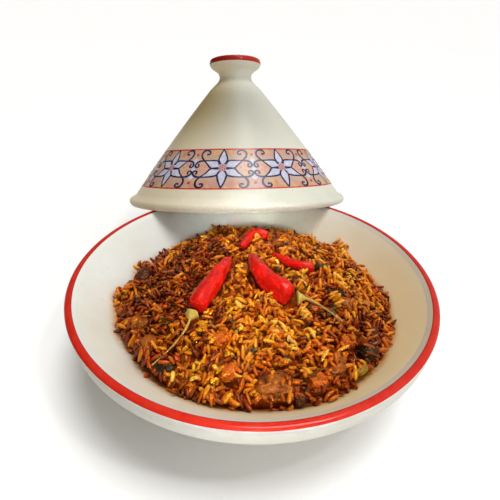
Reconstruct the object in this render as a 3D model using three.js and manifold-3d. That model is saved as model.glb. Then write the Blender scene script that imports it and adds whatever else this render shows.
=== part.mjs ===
// A glazed deep serving dish filled with spiced long-grain rice, with its
// conical lid leaning against the back of the rim.
// Millimetres, +Z up. The dish stands on its foot ring, the lid's bead rests on
// the rim at two places and its back edge touches the surface that the dish
// stands on. The origin is the bottom centre of the whole.
import * as THREE from 'three';
import { mergeVertices } from 'three/addons/utils/BufferGeometryUtils.js';
import Module from 'manifold-3d';

const wasm = await Module();
wasm.setup();

// ---- driving dimensions ----

// dish
const RIM_RADIUS = 150;
const RIM_HEIGHT = 75; // the rim's outer edge above the foot
const RED_BAND_WIDTH = 7;
const RED_BAND_RISE = 1.2; // the band's inner edge stands this much above its outer edge
const BOWL_SLOPE = 41; // degrees from level, inner wall
const BOWL_DEPTH = 62; // rim plane to the floor of the bowl
const BOWL_FLOOR_BEND = 60; // radius between inner wall and floor
const COLLAR_HEIGHT = 13; // upright outer wall below the rim
const COLLAR_BEND = 8;
const COLLAR_TURN = 46; // degrees that the collar's foot turns under
const COLLAR_INSET = 0.7; // collar wall behind the rim's outer edge
const RIM_ROUND = 1.5; // rounding of the rim's outer edge
const RIM_LIP = 2.6; // height of the band's outer edge
const GROOVE = { depth: 1.4, down: 4, end: 6.5 }; // under the red band
const FOOT_RADIUS = 92;
const FOOT_WIDTH = 8;
const FOOT_HEIGHT = 4;
const FOOT_FLARE = 3; // rounding between foot and underside
const DISH_SEGMENTS = 56;

// lid, measured along its own axis from the bottom of its bead
const LID_RADIUS = 130;
const LID_BEAD = 5; // radius of the rounded bottom edge
const LID_BEAD_END = 52; // degrees above level where the bead meets the cone
const LID_WALL = 8.9; // measured level
const LID_CONE_START = { up: 12, radius: 122.3 };
const LID_CONE_END = 132;
const LID_SLOPE = 0.707;
const LID_SWELL = 0.00054; // how much the cone steepens upward, per mm
const LID_HOLLOW = { top: 126, radius: 14, stations: [112, 62, 16] }; // from the top down
const NECK = { up: 147, radius: 18.3 };
const KNOB = { up: 160.5, radius: 30, top: 166, dish: 3, flare: 5, rim: 4, round: 1.5 };
const LID_SEGMENTS = 40;
const LID_LEAN = 21.5; // degrees, backward
const LID_TURN = 6.1; // degrees, to the left
const LID_DISTANCE = 191; // dish axis to the centre of the lid's opening

// rice heap
const RICE_GAP = 0.4; // between rice and dish
const RICE_RADIUS = 117.5; // mean radius of the outline on the bowl's wall
const RICE_TO_FRONT = 8.75; // the heap reaches this much further to the front
const RICE_TO_RIGHT = 2.1;
const RICE_NARROW = 4; // narrower to the sides and longer to front and back
const RICE_CROWN = 5; // the middle of the heap above the rim plane
const RICE_EDGE = 3.4; // thickness of the heap at its outline
const RICE_LUMPS = { height: 1.3, alongX: 9, alongY: 11, across: 7 }; // unevenness of the top
const TOPPING_GAP = 0.35; // between a topping and the rice around it

// Where single clumps reach out past the outline or leave a notch: azimuth in
// degrees from +X, half width in degrees, reach in millimetres.
const OUTLINE_CLUMPS = [
  { azimuth: 184, half: 7, reach: 4 },
  { azimuth: 160, half: 5, reach: 3.5 },
  { azimuth: 171, half: 4, reach: -3 },
  { azimuth: 111, half: 4, reach: 6 },
  { azimuth: 40, half: 5, reach: 5 },
  { azimuth: 50, half: 4, reach: -2.5 },
  { azimuth: -138, half: 20, reach: -5.5 },
  { azimuth: -66, half: 12, reach: 2.5 },
  { azimuth: -40, half: 12, reach: -2 },
  { azimuth: -98, half: 5, reach: 3 },
];

// Chilli pods: the middle line of each over the rice, from the stalk end to the
// tip, in the dish's own plan, and the largest radius.
const CHILLIES = [
  {
    name: 'chilli_left', radius: 8.2, blunt: 0.52, stalkRadius: 1.0,
    pod: [[-42, -52], [-37.5, -42], [-32, -28], [-26, -10], [-19.5, 11]],
    stalk: [[-44, -57.5], [-45, -64], [-46.5, -73], [-51, -81], [-58.5, -90], [-65.5, -99]],
  },
  {
    name: 'chilli_middle', radius: 9.2, blunt: 0.46, stalkRadius: 1.1,
    pod: [[29, -39], [21, -32], [12, -22], [4.5, -8], [-2.5, 10]],
    stalk: [[34, -40], [39, -39.5], [45, -41.5], [52, -46], [58.5, -52.5], [66, -60]],
  },
  {
    name: 'chilli_back', radius: 5.6, blunt: 0.6,
    pod: [[14, 61], [6, 63], [-1, 58], [-6, 47], [-11, 33]],
  },
  {
    name: 'chilli_right', radius: 5.0, blunt: 0.4, stalkRadius: 1.8,
    pod: [[52, 5], [43, 5], [34, 9.5], [25.5, 15.5], [17, 23]],
    stalk: [[56, 8.5], [58.5, 11], [61, 13.5], [64, 15]],
  },
];
const POD_SIDES = 8;
const POD_STEPS = 10;
const POD_LIFT = 0.5; // height of the middle line above the rice, in radii
const CALYX_LENGTH = 7;
const CALYX_WIDTH = 0.62; // its flare at the pod, in the pod's radii
const STALK_SIDES = 6;
const STALK_STEPS = 9;

// Pieces of meat, vegetable and olive lying in the rice: place in the dish's
// plan, length, width and height, turn in degrees, and how square they are cut.
const PIECES = [
  { name: 'meat_front', at: [15, -116], size: [24, 18, 13], turn: 12, square: 0.5 },
  { name: 'aubergine_front', at: [31, -121], size: [11, 8, 8], turn: 75, square: 0.3 },
  { name: 'carrot_front', at: [43, -111], size: [12, 10, 9], turn: 30, square: 0.6 },
  { name: 'meat_front_right', at: [56, -97], size: [18, 13, 10], turn: 35, square: 0.4 },
  { name: 'olive_right', at: [82, -79], size: [16, 12, 9], turn: 40, square: 0.1 },
  { name: 'aubergine_right', at: [88, -61], size: [14, 10, 8], turn: 55, square: 0.3 },
  { name: 'bean_right', at: [73, -97], size: [14, 6.5, 6], turn: 33, square: 0.0 },
  { name: 'carrot_right', at: [68, -74], size: [10, 9, 8], turn: 10, square: 0.6 },
  { name: 'prune_left', at: [-97, 13], size: [16, 13, 10], turn: 60, square: 0.1 },
  { name: 'olive_middle', at: [68, -23], size: [12, 9.5, 9], turn: 10, square: 0.0 },
  { name: 'meat_right', at: [74, -34], size: [18, 11, 9], turn: -15, square: 0.4 },
  { name: 'meat_back', at: [24, 42], size: [17, 12, 9], turn: 20, square: 0.4 },
  { name: 'meat_middle', at: [-8, -4], size: [12, 9, 8], turn: 70, square: 0.4 },
  { name: 'aubergine_middle', at: [37, -15], size: [12, 8, 8], turn: -55, square: 0.3 },
  { name: 'carrot_middle', at: [17, -73], size: [10, 8, 7], turn: 20, square: 0.6 },
  { name: 'carrot_left', at: [-21, -80], size: [12, 10, 8], turn: 50, square: 0.6 },
  { name: 'carrot_near', at: [-14, -107], size: [13, 9, 8], turn: 80, square: 0.6 },
  { name: 'meat_left_near', at: [-72, -79], size: [17, 13, 10], turn: -50, square: 0.4 },
  { name: 'meat_left', at: [-84, -55], size: [15, 12, 9], turn: -70, square: 0.4 },
  { name: 'olive_left', at: [-57, -99], size: [14, 11, 8], turn: -30, square: 0.1 },
];
const PIECE_LIFT = 0.12; // middle of a piece above the rice, in heights
const FINE_PIECE = 18; // pieces longer than this get a finer mesh

// ---- small helpers ----

const radians = THREE.MathUtils.degToRad;

function material(color, roughness) {
  return new THREE.MeshStandardMaterial({ color, roughness, metalness: 0 });
}

function meshOf(name, geometry, finish) {
  const mesh = new THREE.Mesh(geometry, finish);
  mesh.name = name;
  return mesh;
}

// Points of a round stretch in a profile, angles in degrees.
function arc(x, y, radius, from, to, steps) {
  return Array.from({ length: steps + 1 }, (_, i) => {
    const angle = radians(from + ((to - from) * i) / steps);
    return new THREE.Vector2(x + radius * Math.cos(angle), y + radius * Math.sin(angle));
  });
}

// One shared vertex at each place, and no triangle without area.
function welded(geometry) {
  geometry.deleteAttribute('normal');
  geometry.deleteAttribute('uv');
  const merged = mergeVertices(geometry, 1e-3);
  const corners = merged.index.array;
  const kept = [];
  for (let i = 0; i < corners.length; i += 3) {
    const [a, b, c] = corners.slice(i, i + 3);
    if (a !== b && b !== c && c !== a) kept.push(a, b, c);
  }
  merged.setIndex(kept);
  return merged;
}

// A profile of (radius, height) points turned about Z.
function turned(points, segments) {
  return welded(new THREE.LatheGeometry(points, segments).rotateX(Math.PI / 2));
}

// A closed skin from a first point over rings of equal count to a last point.
function skin(first, rings, last) {
  const count = rings[0].length;
  const places = [first, ...rings.flat(), last].flatMap((p) => [p.x, p.y, p.z]);
  const faces = [];
  const at = (ring, i) => 1 + ring * count + (i % count);
  const end = 1 + rings.length * count;
  for (let i = 0; i < count; i += 1) {
    faces.push(0, at(0, i), at(0, i + 1));
    for (let ring = 0; ring + 1 < rings.length; ring += 1) {
      faces.push(at(ring, i), at(ring + 1, i), at(ring + 1, i + 1));
      faces.push(at(ring, i), at(ring + 1, i + 1), at(ring, i + 1));
    }
    faces.push(end, at(rings.length - 1, i + 1), at(rings.length - 1, i));
  }
  const geometry = new THREE.BufferGeometry();
  geometry.setAttribute('position', new THREE.Float32BufferAttribute(places, 3));
  geometry.setIndex(faces);
  return geometry;
}

function toSolid(geometry) {
  return new wasm.Manifold(new wasm.Mesh({
    numProp: 3,
    vertProperties: Float32Array.from(geometry.attributes.position.array),
    triVerts: Uint32Array.from(geometry.index.array),
  }));
}

function toGeometry(solid) {
  const { vertProperties, triVerts } = solid.getMesh();
  const geometry = new THREE.BufferGeometry();
  geometry.setAttribute('position', new THREE.BufferAttribute(vertProperties, 3));
  geometry.setIndex(new THREE.BufferAttribute(triVerts, 1));
  return geometry;
}

// ---- the dish ----

const bowlSlope = radians(BOWL_SLOPE);
const bowlTop = RIM_RADIUS - RED_BAND_WIDTH - 1;
const bowlFloor = RIM_HEIGHT - BOWL_DEPTH;
const floorCorner = bowlTop - BOWL_DEPTH / Math.tan(bowlSlope);
const bendStart = floorCorner - BOWL_FLOOR_BEND * Math.tan(bowlSlope / 2);

// Height of the bowl's inner surface at a radius, above the foot.
function bowlHeight(radius) {
  const across = radius - bendStart;
  if (across <= 0) return bowlFloor;
  if (across >= BOWL_FLOOR_BEND * Math.sin(bowlSlope)) {
    return RIM_HEIGHT - (bowlTop - radius) * Math.tan(bowlSlope);
  }
  return bowlFloor + BOWL_FLOOR_BEND - Math.sqrt(BOWL_FLOOR_BEND ** 2 - across ** 2);
}

function dish() {
  const lip = RIM_HEIGHT;
  const bendSteps = 5;
  const bend = Array.from({ length: bendSteps + 1 }, (_, i) => (
    bendStart + BOWL_FLOOR_BEND * Math.sin((bowlSlope * i) / bendSteps)
  ));
  const inner = [0, ...bend, bowlTop].map((r) => new THREE.Vector2(r, bowlHeight(r)));
  const redBand = [
    new THREE.Vector2(RIM_RADIUS - RED_BAND_WIDTH, lip + RED_BAND_RISE),
    new THREE.Vector2(RIM_RADIUS - RIM_ROUND, lip + RIM_ROUND / 3),
    new THREE.Vector2(RIM_RADIUS, lip - RIM_ROUND * 0.8),
    new THREE.Vector2(RIM_RADIUS - COLLAR_INSET / 3, lip - RIM_LIP),
  ];
  const groove = [new THREE.Vector2(RIM_RADIUS - GROOVE.depth, lip - GROOVE.down)];
  const collarRadius = RIM_RADIUS - COLLAR_INSET;
  const collarFoot = lip - COLLAR_HEIGHT;
  const collar = [
    new THREE.Vector2(collarRadius, lip - GROOVE.end),
    ...arc(collarRadius - COLLAR_BEND, collarFoot, COLLAR_BEND, 0, -COLLAR_TURN, 3),
  ];
  const foot = [
    new THREE.Vector2(FOOT_RADIUS + FOOT_FLARE, FOOT_HEIGHT + FOOT_FLARE),
    new THREE.Vector2(FOOT_RADIUS, FOOT_HEIGHT),
    new THREE.Vector2(FOOT_RADIUS, 0),
    new THREE.Vector2(FOOT_RADIUS - FOOT_WIDTH, 0),
    new THREE.Vector2(FOOT_RADIUS - FOOT_WIDTH, FOOT_HEIGHT - 0.5),
    new THREE.Vector2(0, FOOT_HEIGHT),
  ];
  const profile = [...inner, ...redBand, ...groove, ...collar, ...foot].reverse();
  return meshOf('dish', turned(profile, DISH_SEGMENTS), material('#e9e0cb', 0.25));
}

// ---- the lid ----

function coneRadius(up) {
  const past = up - LID_CONE_START.up;
  return LID_CONE_START.radius - LID_SLOPE * past - LID_SWELL * past ** 2;
}

function lid() {
  const beadRing = LID_RADIUS - LID_BEAD;
  const bead = arc(beadRing, LID_BEAD, LID_BEAD, -180, LID_BEAD_END, 6);
  const steps = 4;
  const stations = Array.from({ length: steps + 1 }, (_, i) => (
    LID_CONE_START.up + ((LID_CONE_END - LID_CONE_START.up) * i) / steps
  ));
  const cone = stations.map((up) => new THREE.Vector2(coneRadius(up), up));
  const neck = [
    new THREE.Vector2((coneRadius(LID_CONE_END) + NECK.radius) / 2 - 1, (LID_CONE_END + NECK.up) / 2),
    new THREE.Vector2(NECK.radius, NECK.up),
  ];
  const knob = [
    new THREE.Vector2(NECK.radius + KNOB.flare, (NECK.up + KNOB.up) / 2),
    new THREE.Vector2(KNOB.radius - KNOB.round, KNOB.up - 2 * KNOB.round),
    new THREE.Vector2(KNOB.radius, KNOB.up),
    new THREE.Vector2(KNOB.radius - KNOB.round, KNOB.top - KNOB.round),
    new THREE.Vector2(KNOB.radius - KNOB.rim, KNOB.top),
    new THREE.Vector2(KNOB.radius - KNOB.rim - KNOB.flare, KNOB.top - KNOB.dish * 0.7),
    new THREE.Vector2(0, KNOB.top - KNOB.dish),
  ];
  const hollow = [
    new THREE.Vector2(0, LID_HOLLOW.top),
    new THREE.Vector2(LID_HOLLOW.radius, LID_HOLLOW.top - 3),
    ...LID_HOLLOW.stations.map((up) => new THREE.Vector2(coneRadius(up) - LID_WALL, up)),
  ];
  const profile = [...hollow, ...bead, ...cone, ...neck, ...knob];
  const mesh = meshOf('lid', turned(profile, LID_SEGMENTS), material('#ece1d0', 0.25));

  // The bead's lowest point, at the back, lies on the ground.
  const lean = radians(LID_LEAN);
  const groundHeight = LID_BEAD + beadRing * Math.sin(lean) - LID_BEAD * Math.cos(lean);
  mesh.position.set(0, LID_DISTANCE, groundHeight);
  mesh.rotation.x = -lean;
  const turn = new THREE.Group();
  turn.rotation.z = radians(LID_TURN);
  turn.add(mesh);
  return turn;
}

// ---- the rice ----

// Radius where the heap meets the bowl's wall, at an azimuth in radians.
function evenOutline(azimuth) {
  return RICE_RADIUS - RICE_TO_FRONT * Math.sin(azimuth) + RICE_TO_RIGHT * Math.cos(azimuth)
    - RICE_NARROW * Math.cos(2 * azimuth);
}

// The same with its clumps and notches.
function outlineRadius(azimuth) {
  let radius = evenOutline(azimuth);
  for (const clump of OUTLINE_CLUMPS) {
    const off = azimuth - radians(clump.azimuth);
    const away = Math.atan2(Math.sin(off), Math.cos(off)) / radians(clump.half);
    radius += clump.reach * Math.exp(-(away ** 2));
  }
  return radius + 0.8 * Math.sin(9 * azimuth + 1) + 0.6 * Math.sin(17 * azimuth + 2);
}

// Height of the heap's top above the ground, at a place in the dish's plan: a
// dome that ends in a thin layer up the wall.
function riceHeight(x, y) {
  const radius = Math.hypot(x, y);
  const edge = evenOutline(Math.atan2(y, x));
  const share = radius / edge;
  const brim = bowlHeight(edge) + RICE_EDGE;
  const middle = RIM_HEIGHT + RICE_CROWN;
  const dome = brim + (middle - brim) * (1 - share ** 2);
  const lumps = Math.sin(x / RICE_LUMPS.alongX + 1.3) * Math.cos(y / RICE_LUMPS.alongY - 0.4)
    + 0.6 * Math.sin((x + y) / RICE_LUMPS.across);
  const uneven = RICE_LUMPS.height * lumps * THREE.MathUtils.clamp(6 * (1 - share), 0, 1);
  return Math.max(dome + uneven, bowlHeight(radius) + RICE_EDGE);
}

function riceBlock() {
  const top = [0.16, 0.34, 0.52, 0.7, 0.86, 0.97];
  const bottom = [1, 0.82, 0.64, 0.46];
  const azimuths = Array.from({ length: DISH_SEGMENTS }, (_, i) => (i * 2 * Math.PI) / DISH_SEGMENTS);
  const ring = (share, heightAt) => azimuths.map((azimuth) => {
    const even = evenOutline(azimuth);
    const radius = share * (even + (outlineRadius(azimuth) - even) * share ** 6);
    const x = radius * Math.cos(azimuth);
    const y = radius * Math.sin(azimuth);
    return new THREE.Vector3(x, y, heightAt(x, y, radius));
  });
  const rings = [
    ...top.map((share) => ring(share, (x, y) => riceHeight(x, y))),
    ...bottom.map((share) => ring(share, (x, y, radius) => bowlHeight(radius) + RICE_GAP)),
  ];
  const peak = new THREE.Vector3(0, 0, riceHeight(0, 0));
  const base = new THREE.Vector3(0, 0, bowlHeight(0) + RICE_GAP);
  return skin(peak, rings, base);
}

// ---- the chillies ----

// A smooth line over the rice, at a height above it.
function lineOverRice(places, lift) {
  return new THREE.CatmullRomCurve3(places.map(([x, y]) => (
    new THREE.Vector3(x, y, riceHeight(x, y) + lift)
  )));
}

// A round skin along a line; radiusAt gives its radius by the share of length.
function along(curve, radiusAt, sides, steps) {
  const up = new THREE.Vector3(0, 0, 1);
  const rings = Array.from({ length: steps + 1 }, (_, i) => {
    const share = i / steps;
    const centre = curve.getPointAt(share);
    const forward = curve.getTangentAt(share);
    const side = new THREE.Vector3().crossVectors(forward, up).normalize();
    const over = new THREE.Vector3().crossVectors(side, forward);
    const radius = radiusAt(share);
    return Array.from({ length: sides }, (__, k) => {
      const angle = (k * 2 * Math.PI) / sides;
      return centre.clone()
        .addScaledVector(side, radius * Math.cos(angle))
        .addScaledVector(over, radius * Math.sin(angle));
    });
  });
  const cap = 0.35; // how far an end bulges, in its radius
  const first = curve.getPointAt(0).addScaledVector(curve.getTangentAt(0), -cap * radiusAt(0));
  const last = curve.getPointAt(1).addScaledVector(curve.getTangentAt(1), cap * radiusAt(1));
  return skin(first, rings, last);
}

// Share of the largest radius along a pod: shoulders, belly and a narrowed tip.
function podShape(share, blunt) {
  const shoulder = Math.min(1, 0.72 + 2.2 * share);
  const taper = 1 - (1 - blunt) * share ** 1.6;
  const tip = Math.sqrt(Math.max(0.02, 1 - Math.max(0, (share - 0.82) / 0.18) ** 2));
  return shoulder * taper * (0.25 + 0.75 * tip);
}

function podGeometry(chilli, grown) {
  const curve = lineOverRice(chilli.pod, chilli.radius * POD_LIFT);
  const radiusAt = (share) => chilli.radius * podShape(share, chilli.blunt) + grown;
  return along(curve, radiusAt, POD_SIDES, POD_STEPS);
}

// Calyx and stalk in one: a cap as wide as the pod's shoulder narrowing to the
// stalk. It starts just clear of the pod.
function stalkGeometry(chilli, grown) {
  const lift = chilli.radius * POD_LIFT;
  const curve = lineOverRice(chilli.stalk, lift * 0.9);
  const calyxShare = CALYX_LENGTH / curve.getLength();
  const radiusAt = (share) => {
    const past = Math.min(1, share / calyxShare);
    const flare = chilli.radius * CALYX_WIDTH * (1 - past) ** 1.5;
    return chilli.stalkRadius + flare + grown;
  };
  return along(curve, radiusAt, STALK_SIDES, STALK_STEPS);
}

// ---- pieces of meat and vegetable ----

function pieceGeometry(piece, grown) {
  const detail = piece.size[0] > FINE_PIECE ? 2 : 1;
  const geometry = welded(new THREE.IcosahedronGeometry(1, detail));
  const phase = piece.at[0] * 0.7 + piece.at[1] * 0.3;
  const places = geometry.attributes.position;
  const half = piece.size.map((length) => length / 2 + grown);
  const point = new THREE.Vector3();
  for (let i = 0; i < places.count; i += 1) {
    point.fromBufferAttribute(places, i);
    const widest = Math.max(Math.abs(point.x), Math.abs(point.y), Math.abs(point.z));
    const cut = 1 + piece.square * (0.8 / widest - 0.8);
    const uneven = 1 + 0.07 * Math.sin(3.1 * point.x + 2.3 * point.y + phase);
    const dent = 1 + 0.05 * Math.cos(4.3 * point.z - 2.1 * point.x + phase * 1.7);
    const stretch = cut * uneven * dent;
    places.setXYZ(
      i,
      point.x * stretch * half[0],
      point.y * stretch * half[1],
      point.z * stretch * half[2],
    );
  }
  const [x, y] = piece.at;
  const height = riceHeight(x, y) + piece.size[2] * PIECE_LIFT;
  return geometry.rotateZ(radians(piece.turn)).translate(x, y, height);
}

const PIECE_FINISHES = {
  meat: material('#8a4a1c', 0.5),
  aubergine: material('#3a1a18', 0.4),
  carrot: material('#d9701c', 0.45),
  olive: material('#26241a', 0.3),
  bean: material('#9a8a2c', 0.45),
  prune: material('#3d1f16', 0.35),
};

// ---- assembly ----

const red = material('#c4160c', 0.28);
const stalkGreen = material('#a8a056', 0.5);

// Lays a topping in the rice: it is cut clear of the toppings laid before it,
// and the rice is cut clear of it. geometryAt gives its shape, grown by a gap.
let rice = toSolid(riceBlock());
const rooms = [];
function lay(name, geometryAt, finish) {
  let solid = toSolid(geometryAt(0));
  for (const room of rooms) solid = solid.subtract(room);
  const room = toSolid(geometryAt(TOPPING_GAP));
  rooms.push(room);
  rice = rice.subtract(room);
  return meshOf(name, toGeometry(solid), finish);
}

const toppings = [];
for (const chilli of CHILLIES) {
  toppings.push(lay(`${chilli.name}_pod`, (grown) => podGeometry(chilli, grown), red));
  if (chilli.stalk) {
    const stalkAt = (grown) => stalkGeometry(chilli, grown);
    toppings.push(lay(`${chilli.name}_stalk`, stalkAt, stalkGreen));
  }
}
for (const piece of PIECES) {
  const finish = PIECE_FINISHES[piece.name.split('_')[0]];
  toppings.push(lay(piece.name, (grown) => pieceGeometry(piece, grown), finish));
}

const whole = new THREE.Group();
whole.add(dish(), meshOf('rice_heap', toGeometry(rice), material('#c9761c', 0.6)), ...toppings);
whole.add(lid());

// Move the whole so that its bottom centre is the origin.
whole.updateMatrixWorld(true);
const extent = new THREE.Box3().setFromObject(whole, true);
whole.position.set(-(extent.min.x + extent.max.x) / 2, -(extent.min.y + extent.max.y) / 2, -extent.min.z);

export default whole;
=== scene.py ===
"""A glazed deep dish of spiced rice with chillies, meat and vegetables, and its conical lid
leaning on the back of the rim.

Shapes are worked out in millimetres from the dish's axis and the ground, and placed in the
frame in metres by `in_frame`.
"""

import math

import bmesh
import bpy
import numpy as np
from bpy.props import FloatProperty, FloatVectorProperty, IntProperty, PointerProperty
from mathutils import Euler, Matrix, Vector, noise


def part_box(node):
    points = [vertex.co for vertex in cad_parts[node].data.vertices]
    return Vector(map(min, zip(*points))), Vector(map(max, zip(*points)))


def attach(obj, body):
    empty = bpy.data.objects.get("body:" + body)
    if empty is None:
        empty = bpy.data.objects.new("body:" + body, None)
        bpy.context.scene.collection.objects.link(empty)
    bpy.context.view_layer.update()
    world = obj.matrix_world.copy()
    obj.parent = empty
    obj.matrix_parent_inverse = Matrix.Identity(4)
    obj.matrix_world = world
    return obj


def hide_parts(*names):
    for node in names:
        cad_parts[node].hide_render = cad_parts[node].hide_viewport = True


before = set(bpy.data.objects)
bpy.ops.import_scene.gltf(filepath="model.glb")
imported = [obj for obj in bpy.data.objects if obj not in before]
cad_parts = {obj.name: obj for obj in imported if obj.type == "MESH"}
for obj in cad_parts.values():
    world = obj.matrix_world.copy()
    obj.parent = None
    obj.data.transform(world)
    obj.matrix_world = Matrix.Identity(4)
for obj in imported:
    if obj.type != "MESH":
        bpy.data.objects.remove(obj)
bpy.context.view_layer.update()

bl_info = {
    "name": "Dish of spiced rice",
    "version": (1, 0, 0),
    "blender": (4, 5, 0),
    "location": "View3D > Sidebar > Rice dish",
    "description": "Builds a glazed dish of spiced rice and its conical lid",
    "category": "Add Mesh",
}

# ---- sizes that everything shares, in millimetres ----

MM = 0.001
DISH_LOW, DISH_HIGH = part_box("dish")
AXIS = Vector(((DISH_LOW.x + DISH_HIGH.x) / 2, (DISH_LOW.y + DISH_HIGH.y) / 2, 0.0))

# The dish. The band is the raised red line round its rim. The bowl has a flat floor, a bend
# of radius BOWL_BEND and a straight wall up to BOWL_TOP, a radius.
RIM_RADIUS = (DISH_HIGH.x - DISH_LOW.x) / 2 / MM
BAND_RISE = 1.2
RIM_HEIGHT = DISH_HIGH.z / MM - BAND_RISE
BAND_WIDTH = 5.7
BAND_INNER = RIM_RADIUS - BAND_WIDTH
BOWL_SLOPE = math.radians(41)
BOWL_DEPTH = 62.0
BOWL_BEND = 60.0
BOWL_TOP = RIM_RADIUS - 8
BOWL_FLOOR = RIM_HEIGHT - BOWL_DEPTH
BEND_START = BOWL_TOP - BOWL_DEPTH / math.tan(BOWL_SLOPE) - BOWL_BEND * math.tan(BOWL_SLOPE / 2)

# The lid, in its own upright coordinates: heights are from its bottom edge. CONE_SWELL makes
# its cone bulge a little, and the painted band runs from BAND_LOW to BAND_HIGH.
LID_RADIUS = 130.0
LID_BEAD = 5.0
LID_WALL = 8.9
CONE_START = 12.0
CONE_START_RADIUS = 122.3
CONE_END = 132.0
CONE_SLOPE = 0.707
CONE_SWELL = 0.00054
BAND_LOW = 22.9
BAND_HIGH = 61.7

# How the lid leans on the dish: back from upright, round the dish, and from its axis.
LID_LEAN = math.radians(21.5)
LID_TURN = math.radians(6.1)
LID_DISTANCE = 191.0

# The heap of rice. Its outline is a circle, moved to the front and right and narrowed from
# side to side. Its middle stands RICE_CROWN over the rim, it is RICE_EDGE thick at its edge,
# and at the front the rice stops RICE_BARE_FRONT inside that outline.
RICE_RADIUS = 117.5
RICE_TO_FRONT = 8.75
RICE_TO_RIGHT = 2.1
RICE_NARROW = 4.0
RICE_CROWN = 5.0
RICE_EDGE = 3.4
RICE_BARE_FRONT = 4.0

# Clumps and notches in the heap's outline: azimuth and half width in degrees, reach.
OUTLINE_CLUMPS = [
    (184, 7, 4), (160, 5, 3.5), (171, 4, -3), (111, 4, 6), (40, 5, 5),
    (50, 4, -2.5), (-138, 20, -5.5), (-66, 12, 2.5), (-40, 12, -2), (-98, 5, 3),
]


def in_frame(points):
    """Millimetres from the dish's axis and the ground, as metres in the frame."""
    return np.asarray(points, float) * MM + np.array(AXIS)


def smoothstep(low, high, value):
    """From 0 at low to 1 at high, with no corner."""
    share = np.clip((np.asarray(value, float) - low) / (high - low), 0, 1)
    return share * share * (3 - 2 * share)


def bowl_height(radius):
    """Height of the bowl's inner surface at a radius."""
    radius = np.asarray(radius, float)
    across = radius - BEND_START
    bend = BOWL_FLOOR + BOWL_BEND - np.sqrt(np.maximum(BOWL_BEND**2 - across**2, 0))
    wall = RIM_HEIGHT - (BOWL_TOP - radius) * math.tan(BOWL_SLOPE)
    height = np.where(across >= BOWL_BEND * math.sin(BOWL_SLOPE), wall, bend)
    return np.where(across <= 0, BOWL_FLOOR, height)


def even_outline(azimuth):
    """Radius at which the heap meets the bowl's wall, without its clumps."""
    aside = RICE_TO_RIGHT * np.cos(azimuth) - RICE_TO_FRONT * np.sin(azimuth)
    return RICE_RADIUS + aside - RICE_NARROW * np.cos(2 * azimuth)


def outline_radius(azimuth):
    """Radius of the heap's outline with its clumps and notches."""
    radius = even_outline(azimuth)
    for middle, half, reach in OUTLINE_CLUMPS:
        off = azimuth - math.radians(middle)
        away = np.arctan2(np.sin(off), np.cos(off)) / math.radians(half)
        radius = radius + reach * np.exp(-(away**2))
    return radius + 0.8 * np.sin(9 * azimuth + 1) + 0.6 * np.sin(17 * azimuth + 2)


def short_of_front(azimuth):
    """How far the rice stops inside the heap's outline at the front."""
    return RICE_BARE_FRONT * np.maximum(0, -np.sin(azimuth)) ** 3


def rice_height(x, y):
    """Height of the heap's top: a dome that ends in a thin layer up the wall."""
    radius = np.hypot(x, y)
    edge = even_outline(np.arctan2(y, x))
    share = radius / edge
    brim = bowl_height(edge) + RICE_EDGE
    middle = RIM_HEIGHT + RICE_CROWN
    dome = brim + (middle - brim) * (1 - share**2)
    lumps = np.sin(x / 9 + 1.3) * np.cos(y / 11 - 0.4) + 0.6 * np.sin((x + y) / 7)
    uneven = 1.3 * lumps * np.clip(6 * (1 - share), 0, 1)
    return np.maximum(dome + uneven, bowl_height(radius) + RICE_EDGE)


def cone_radius(up):
    """Radius of the lid's outer cone at a height above its bottom edge."""
    past = up - CONE_START
    return CONE_START_RADIUS - CONE_SLOPE * past - CONE_SWELL * past**2


def lid_in_frame(points):
    """Points in the lid's own upright coordinates, leaned and placed in the frame."""
    bead_ring = LID_RADIUS - LID_BEAD
    ground = LID_BEAD + bead_ring * math.sin(LID_LEAN) - LID_BEAD * math.cos(LID_LEAN)
    lean = np.array(Matrix.Rotation(-LID_LEAN, 3, "X"))
    turn = np.array(Matrix.Rotation(LID_TURN, 3, "Z"))
    leaned = np.asarray(points, float) @ lean.T + np.array([0, LID_DISTANCE, ground])
    return in_frame(leaned @ turn.T)


# ---- meshes ----


def new_piece(name, places, blocks, finishes, node=None, tags=None):
    """A piece from places in the frame and blocks of equal-sided faces.

    blocks is a list of (faces, finish number). tags holds a value for each place by
    attribute name.
    """
    points = np.asarray(places, np.float32)
    mesh = bpy.data.meshes.new(name)
    loops = np.concatenate([faces.ravel() for faces, _ in blocks])
    sides = np.concatenate([np.full(len(faces), faces.shape[1]) for faces, _ in blocks])
    finish_numbers = np.concatenate([np.full(len(faces), number) for faces, number in blocks])
    mesh.vertices.add(len(points))
    mesh.vertices.foreach_set("co", points.ravel())
    mesh.loops.add(len(loops))
    mesh.loops.foreach_set("vertex_index", loops.astype(np.int32))
    mesh.polygons.add(len(sides))
    starts = np.concatenate([[0], np.cumsum(sides)[:-1]])
    mesh.polygons.foreach_set("loop_start", starts.astype(np.int32))
    mesh.polygons.foreach_set("material_index", finish_numbers.astype(np.int32))
    mesh.polygons.foreach_set("use_smooth", np.ones(len(sides), bool))
    mesh.update(calc_edges=True)
    mesh.validate()
    for tag, values in (tags or {}).items():
        attribute = mesh.attributes.new(tag, "FLOAT", "POINT")
        attribute.data.foreach_set("value", np.asarray(values, np.float32))
    for finish in finishes:
        mesh.materials.append(finish)
    piece = bpy.data.objects.new(name, mesh)
    bpy.context.scene.collection.objects.link(piece)
    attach(piece, "root")
    if node:
        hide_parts(node)
    return piece


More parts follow.
